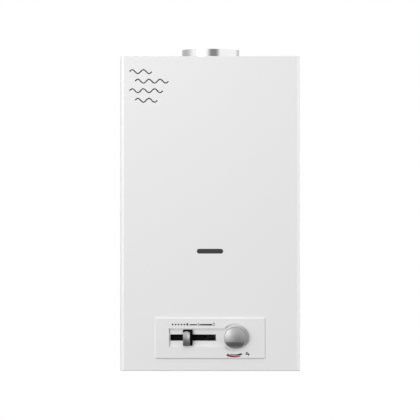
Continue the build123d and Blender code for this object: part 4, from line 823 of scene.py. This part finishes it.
# Print on the panel: three points that it is measured from, and the marks at each with their sizes in mm
SLOT_SCALE_MIDDLE = Vector((SLOT_MIDDLE.x, PANEL_FRONT, SLOT_MIDDLE.z + 24.7 * MM))
KNOB_MIDDLE = Vector((KNOB_X, PANEL_FRONT, KNOB_Z))
TAP_MIDDLE = KNOB_MIDDLE + Vector((23.8, 0, -31.2)) * MM
DASH_STARTS = (-39.8, -34.3, -28.8, -23.3, -17.8)
DARK_MARKS = (
    *((printed_bar, SLOT_SCALE_MIDDLE, (start, start + 2.9, 0, 3.0)) for start in DASH_STARTS),
    (printed_drop, SLOT_SCALE_MIDDLE, (-10.8, 0.1, 2.1, 3.7)),
    (printed_bar, SLOT_SCALE_MIDDLE, (-6.7, 7.6, -0.4, 2.3)),
    (printed_flame, SLOT_SCALE_MIDDLE, (10.2, 0, 1.2, 2.6, 0.7)),
    (printed_bar, SLOT_SCALE_MIDDLE, (12.1, 36.2, -0.4, 2.4, 2.8)),
    (printed_flame, SLOT_SCALE_MIDDLE, (39.2, 0.7, 2.0, 3.0, 0.8)),
    (printed_wedge, KNOB_MIDDLE, (23, -16, 33.2, 32.2, 3.6, 0.8)),
    (printed_bar, TAP_MIDDLE, (-3.8, 1.3, 0.3, 2.0)),
    (printed_bar, TAP_MIDDLE, (1.0, 3.6, -0.2, 3.2)),
    (printed_bar, TAP_MIDDLE, (-1.9, -0.5, 1.8, 1.2)),
    (printed_bar, TAP_MIDDLE, (-3.2, 0.8, 2.9, 1.4)),
    (printed_drop, TAP_MIDDLE, (2.3, -3.1, 0.6, 1.0)),
)
RED_MARKS = ((printed_wedge, KNOB_MIDDLE, (-25.4, 17, 35.3, 36.0, 4.6, 1.6)),)


class HEATER_OT_panel(bpy.types.Operator):
    """Finish the moulded control panel and the slide guide, and print the two scales"""

    bl_idname = "heater.panel"
    bl_label = "Control panel"

    def execute(self, context):
        finish_nodes("control_panel")
        finish_nodes("slide_guide", look="matt_black")
        for name, look, marks in (
            ("panel_scale_dark", "ink", DARK_MARKS), ("panel_scale_red", "warm_ink", RED_MARKS),
        ):
            bm = bmesh.new()
            for add_mark, origin, measures in marks:
                add_mark(bm, origin, *measures)
            ink_up(bm, context.scene.heater_sizes.ink_lift)
            place_piece(name, bm, look, "case")
        return {"FINISHED"}


# Slider's grip: its ends stop short of the solid's; its face falls away towards the ends, is hollowed
# across and arched at the upper end; its edges are rounded
GRIP_SHORT = 1.1 * MM
GRIP_FALL = 4.6 * MM
GRIP_HOLLOW = 0.7 * MM
GRIP_ARCH = 1.9 * MM
GRIP_ROUND = 0.9 * MM
GRIP_CORNER = math.radians(50)


def moulded_grip(low, high):
    """A thumb grip in the box from low to high: crowned along, hollowed across, with an arched upper end."""
    half_width, half_height = (high.x - low.x) / 2, (high.z - low.z) / 2
    middle = (low + high) / 2
    bm = bmesh.new()
    bmesh.ops.create_grid(bm, x_segments=9, y_segments=18, size=1)
    for vert in bm.verts:
        across, along = vert.co.x, vert.co.y
        fall = GRIP_FALL * along ** 2 + GRIP_HOLLOW * (1 - across ** 2)
        arch = GRIP_ARCH * across ** 2 * max(along, 0) ** 3
        vert.co = (middle.x + half_width * across, low.y + fall, middle.z + half_height * along - arch)
    rim = [edge for edge in bm.edges if edge.is_boundary]
    foot = new_verts(bmesh.ops.extrude_edge_only(bm, edges=rim))
    for vert in foot:
        vert.co.y = high.y
    bmesh.ops.contextual_create(bm, geom=[edge for edge in bm.edges if edge.is_boundary])
    corners = [
        edge for edge in bm.edges
        if sum(vert in foot for vert in edge.verts) == 1 and edge.calc_face_angle() > GRIP_CORNER
    ]
    bmesh.ops.bevel(
        bm, geom=rim + corners, offset=GRIP_ROUND, affect="EDGES", segments=3, profile=0.5, material=-1,
    )
    return bm


class HEATER_OT_slider(bpy.types.Operator):
    """Mould the slider's grip and finish its plate, its rack and the gas cock's sector and spindle"""

    bl_idname = "heater.slider"
    bl_label = "Slider and cock drive"

    def execute(self, context):
        finish_nodes("slider_base", "slider_rack", look="matt_black")
        finish_nodes("cock_sector", "cock_spindle")
        low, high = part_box("slider_grip")
        short = Vector((0, 0, GRIP_SHORT))
        bm = moulded_grip(low + short, high - short)
        place_piece("slider_grip_moulded", bm, "silver_plastic", "slider", ["slider_grip"])
        return {"FINISHED"}


class HEATER_OT_knob(bpy.types.Operator):
    """Finish the temperature knob and its spindle"""

    bl_idname = "heater.knob"
    bl_label = "Temperature knob"

    def execute(self, context):
        finish_nodes("temperature_knob", "water_spindle")
        return {"FINISHED"}


class HEATER_OT_valves(bpy.types.Operator):
    """Finish the gas valve, the water valve and the flow switch"""

    bl_idname = "heater.valves"
    bl_label = "Valves"

    def execute(self, context):
        finish_nodes(
            "gas_valve_body", "solenoid_valve", "water_valve_body", "water_valve_cover", "valve_diaphragm",
            "push_rod", "switch_bracket", "flow_switch", "switch_plunger",
        )
        return {"FINISHED"}


NIPPLE_RADIUS = 10.4775 * MM
NIPPLE_BORE_RADIUS = 7 * MM
NIPPLE_NECK_RADIUS = 9 * MM
HEX_HALF_WIDTH = 13.5 * MM
HEX_HEIGHT = 5 * MM
HEX_BEVEL = 0.5 * MM
THREAD_RUN_OUT = 1 * MM
# One turn of the thread, as shares of its depth and its pitch
THREAD_FORM = ((0, 0.12), (1, 0.44), (1, 0.56), (0, 0.88))


def threaded_nipple(low, high, hex_top, sizes):
    """A pipe nipple in the box from low to high: thread below, hexagon under hex_top, neck above."""
    centre = (low + high) / 2
    root = NIPPLE_RADIUS - sizes.thread_depth
    hex_low = hex_top - HEX_HEIGHT
    profile = [(0, hex_top), (NIPPLE_BORE_RADIUS, hex_top), (NIPPLE_BORE_RADIUS, low.z), (root, low.z)]
    height = low.z
    while height + sizes.thread_pitch < hex_low - THREAD_RUN_OUT:
        profile += [
            (root + out * sizes.thread_depth, height + up * sizes.thread_pitch) for out, up in THREAD_FORM
        ]
        height += sizes.thread_pitch
    profile += [(root, hex_low), (NIPPLE_NECK_RADIUS, hex_low), (NIPPLE_NECK_RADIUS, high.z), (0, high.z)]
    bm = bmesh.new()
    spun(bm, profile, centre, sizes.round_steps // 2)
    hexagon = bmesh.ops.create_circle(
        bm, cap_ends=True, segments=6, radius=HEX_HALF_WIDTH / math.cos(math.pi / 6),
        matrix=Matrix.Translation((centre.x, centre.y, hex_low)),
    )
    underside = hexagon["verts"][0].link_faces[0]
    top = new_verts(bmesh.ops.extrude_face_region(bm, geom=[underside], use_keep_orig=True))
    bmesh.ops.translate(bm, verts=top, vec=(0, 0, HEX_HEIGHT))
    top_edges = [
        edge for edge in bm.edges if len(edge.link_faces) == 2 and all(vert in top for vert in edge.verts)
    ]
    bmesh.ops.bevel(
        bm, geom=top_edges, offset=HEX_BEVEL, affect="EDGES", segments=2, profile=0.5, material=-1,
    )
    return bm


class HEATER_OT_nipples(bpy.types.Operator):
    """Turn the three threaded pipe nipples and finish their lock nuts"""

    bl_idname = "heater.nipples"
    bl_label = "Pipe nipples"

    def execute(self, context):
        hex_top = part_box("floor_plate")[0].z
        for node in ("hot_nipple", "gas_nipple", "cold_nipple"):
            bm = threaded_nipple(*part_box(node), hex_top, context.scene.heater_sizes)
            place_piece(f"{node}_threaded", bm, "brass", "case", [node])
        finish_nodes("lock_nuts")
        return {"FINISHED"}


class HEATER_OT_heat_cell(bpy.types.Operator):
    """Finish the copper heat cell, its pipes and the overheat thermostat"""

    bl_idname = "heater.heat_cell"
    bl_label = "Heat cell"

    def execute(self, context):
        finish_nodes(
            "combustion_chamber", "fin_plates", "exchanger_tube", "feed_pipe", "hot_pipe", "thermostat_clip",
            "overheat_thermostat",
        )
        return {"FINISHED"}


class HEATER_OT_burner(bpy.types.Operator):
    """Finish the burner, the gas manifold and the electrodes"""

    bl_idname = "heater.burner"
    bl_label = "Burner"

    def execute(self, context):
        finish_nodes(
            "burner_frame", "burner_bars", "injectors", "gas_manifold", "electrode_plate", "spark_electrode",
            "flame_electrode", "electrode_pins",
        )
        return {"FINISHED"}


class HEATER_OT_electrics(bpy.types.Operator):
    """Finish the igniter module and the battery box with its door and cells"""

    bl_idname = "heater.electrics"
    bl_label = "Igniter and battery box"

    def execute(self, context):
        finish_nodes("igniter_module", "battery_box", "battery_door", "battery_cells", "battery_contact")
        return {"FINISHED"}


def floor_finish():
    """Pale floor that is clear from underneath."""
    material, tree, shader = bare_material("floor_pale")
    tone = place_effect(tree, "colour_drift", Colour=chosen_colour("floor"), Scale=0.8, Amount=0.02)
    feed(tree, shader, {"Base Color": tone["Colour"], "Roughness": 0.7})
    side = tree.nodes.new("ShaderNodeNewGeometry")
    clear = tree.nodes.new("ShaderNodeBsdfTransparent")
    either = add_node(
        tree, "ShaderNodeMixShader",
        {0: side.outputs["Backfacing"], 1: shader.outputs[0], 2: clear.outputs[0]},
    )
    feed(tree, tree.nodes["Material Output"], {"Surface": either.outputs[0]})
    return material


# Brightness of the room straight down and straight up, and between them by share of the way up
ROOM_BELOW, ROOM_ABOVE = 0.05, 0.85
ROOM_RISE = ((0.30, 0.15), (0.42, 0.45), (0.48, 0.92), (0.60, 1.0))
# Dimmer sides of the room, behind the camera and at both rear sides: direction, cosine of the angle from it
# where dimming starts and where it is full, and the brightness left there
DIM_SIDES = (
    ((0.225, -0.974, 0), 0.89, 0.99, 0.24),
    ((-0.8, 0.6, 0), 0.55, 1.0, 0.5),
    ((0.5, 0.866, 0), 0.86, 1.0, 0.6),
)


def studio_world(strength, mirrored):
    """Pale room with a white backdrop: dark below, dimmer at some sides, brighter in mirrors."""
    world = bpy.data.worlds.new("studio_room")
    bpy.context.scene.world = world
    world.use_nodes = True
    tree = world.node_tree
    tree.nodes.clear()
    way = tree.nodes.new("ShaderNodeTexCoord").outputs["Generated"]
    seen = tree.nodes.new("ShaderNodeLightPath").outputs
    parts = add_node(tree, "ShaderNodeSeparateXYZ", {0: way})
    height = add_node(tree, "ShaderNodeMapRange", {"Value": parts.outputs["Z"], "From Min": -1})
    rise = add_node(tree, "ShaderNodeValToRGB", {"Fac": height.outputs["Result"]})
    tones = rise.color_ramp.elements
    tones[0].color = (ROOM_BELOW, ROOM_BELOW, ROOM_BELOW, 1)
    tones[1].color = (ROOM_ABOVE, ROOM_ABOVE, ROOM_ABOVE, 1)
    for share, tone in ROOM_RISE:
        tones.new(share).color = (tone, tone, tone, 1)
    level = add_node(
        tree, "ShaderNodeMapRange", {"Value": seen["Is Glossy Ray"], "To Min": strength, "To Max": mirrored},
    )
    lit = level.outputs["Result"]
    for towards, start, full, left in DIM_SIDES:
        facing = add_node(tree, "ShaderNodeVectorMath", {0: way, 1: towards}, operation="DOT_PRODUCT")
        dimmed = add_node(
            tree, "ShaderNodeMapRange",
            {
                "Value": facing.outputs["Value"], "From Min": start, "From Max": full, "To Min": 1,
                "To Max": left,
            },
            interpolation_type="SMOOTHSTEP",
        )
        lit = maths(tree, "MULTIPLY", dimmed.outputs["Result"], lit)
    room = add_node(tree, "ShaderNodeBackground", {"Color": rise.outputs["Color"], "Strength": lit})
    backdrop = add_node(tree, "ShaderNodeBackground", {"Color": (1, 1, 1, 1)})
    either = add_node(
        tree, "ShaderNodeMixShader", {0: seen["Is Camera Ray"], 1: room.outputs[0], 2: backdrop.outputs[0]},
    )
    add_node(tree, "ShaderNodeOutputWorld", {"Surface": either.outputs[0]})


def soft_light(name, place, aim, size, energy, mirrored=True, spread=True):
    """Square soft light that points at a spot; it may show only in gloss, or only as light and shade."""
    light = bpy.data.lights.new(name, "AREA")
    light.shape = "SQUARE"
    light.size = size
    light.energy = energy
    holder = bpy.data.objects.new(name, light)
    holder.location = place
    holder.rotation_euler = (Vector(aim) - Vector(place)).to_track_quat("-Z", "Y").to_euler()
    holder.visible_glossy = mirrored
    holder.visible_diffuse = spread
    bpy.context.scene.collection.objects.link(holder)


class HEATER_OT_stage(bpy.types.Operator):
    """Set the pale floor, the soft light and the camera"""

    bl_idname = "heater.stage"
    bl_label = "Stage"

    def execute(self, context):
        stage = context.scene.heater_stage
        self.set_floor(context, stage)
        studio_world(stage.room_light, stage.mirrored_light)
        self.set_lights(stage)
        self.set_camera(context, stage)
        return {"FINISHED"}

    def set_floor(self, context, stage):
        """Lays a round floor that neither shades nor colours the heater."""
        bm = bmesh.new()
        bmesh.ops.create_circle(
            bm, cap_ends=True, segments=context.scene.heater_sizes.round_steps, radius=stage.floor_radius,
            matrix=Matrix.Translation((0, 0, cad_low.z - stage.floor_drop)),
        )
        mesh = bpy.data.meshes.new("floor")
        bm.to_mesh(mesh)
        bm.free()
        mesh.materials.append(floor_finish())
        floor = bpy.data.objects.new("floor", mesh)
        context.scene.collection.objects.link(floor)
        floor.visible_glossy = False
        floor.visible_diffuse = False
        floor.visible_shadow = False

    def set_lights(self, stage):
        """Hangs the soft lights; the far left one is split into its gloss and its light."""
        left, face = (-5.6, -7.1, 0), (0, -0.14, -0.1)
        soft_light(
            "key_light", place=(-1.3, -1.75, 0.8), aim=(0, -0.14, 0), size=0.5, energy=stage.key_energy,
            spread=False,
        )
        soft_light("left_gloss", left, face, size=3.4, energy=stage.left_gloss, spread=False)
        soft_light("left_light", left, face, size=3.4, energy=stage.left_energy, mirrored=False)
        soft_light(
            "top_light", place=(-0.3, -0.9, 0.75), aim=(0, -0.14, 0.2), size=0.6, energy=stage.top_energy,
            mirrored=False,
        )
        soft_light(
            "side_light", place=(1.8, -0.12, 0.2), aim=(0.17, -0.1, 0), size=0.5, energy=stage.side_energy,
            mirrored=False,
        )
        soft_light(
            "under_light", place=(0.1, 0.75, -1.3), aim=(0, -0.07, -0.3), size=0.6,
            energy=stage.under_energy,
        )

    def set_camera(self, context, stage):
        """Stands the camera in front of the cover, level, and a little to the right."""
        lens = bpy.data.cameras.new("front_view")
        lens.sensor_width = 36
        lens.lens = stage.lens
        lens.clip_end = 50
        camera = bpy.data.objects.new("front_view", lens)
        turn = stage.camera_turn
        camera.location = (
            stage.camera_distance * math.sin(turn),
            COVER_FRONT - stage.camera_distance * math.cos(turn),
            stage.eye_height,
        )
        camera.rotation_euler = (math.pi / 2, 0, turn)
        context.scene.collection.objects.link(camera)
        context.scene.camera = camera
        context.scene.view_settings.view_transform = "Standard"


PIECES = (
    HEATER_OT_case,
    HEATER_OT_cover_screws,
    HEATER_OT_flue,
    HEATER_OT_window,
    HEATER_OT_wave_print,
    HEATER_OT_panel,
    HEATER_OT_slider,
    HEATER_OT_knob,
    HEATER_OT_valves,
    HEATER_OT_nipples,
    HEATER_OT_heat_cell,
    HEATER_OT_burner,
    HEATER_OT_electrics,
    HEATER_OT_stage,
)


class HEATER_PT_pieces(bpy.types.Panel):
    """Lists the heater's pieces in the 3D view's sidebar"""

    bl_idname = "HEATER_PT_pieces"
    bl_label = "Water Heater"
    bl_space_type = "VIEW_3D"
    bl_region_type = "UI"
    bl_category = "Heater"

    def draw(self, context):
        for piece in PIECES:
            self.layout.operator(piece.bl_idname)
        for group in (context.scene.heater_colours, context.scene.heater_sizes, context.scene.heater_stage):
            box = self.layout.box()
            for name in group.__annotations__:
                box.prop(group, name)


CLASSES = (HEATER_PG_colours, HEATER_PG_sizes, HEATER_PG_stage, *PIECES, HEATER_PT_pieces)


def register():
    for item in CLASSES:
        bpy.utils.register_class(item)
    bpy.types.Scene.heater_colours = PointerProperty(type=HEATER_PG_colours)
    bpy.types.Scene.heater_sizes = PointerProperty(type=HEATER_PG_sizes)
    bpy.types.Scene.heater_stage = PointerProperty(type=HEATER_PG_stage)


def unregister():
    del bpy.types.Scene.heater_stage
    del bpy.types.Scene.heater_sizes
    del bpy.types.Scene.heater_colours
    for item in reversed(CLASSES):
        bpy.utils.unregister_class(item)


def main():
    register()
    for piece in PIECES:
        family, task = piece.bl_idname.split(".")
        getattr(getattr(bpy.ops, family), task)()


if __name__ == "__main__":
    main()
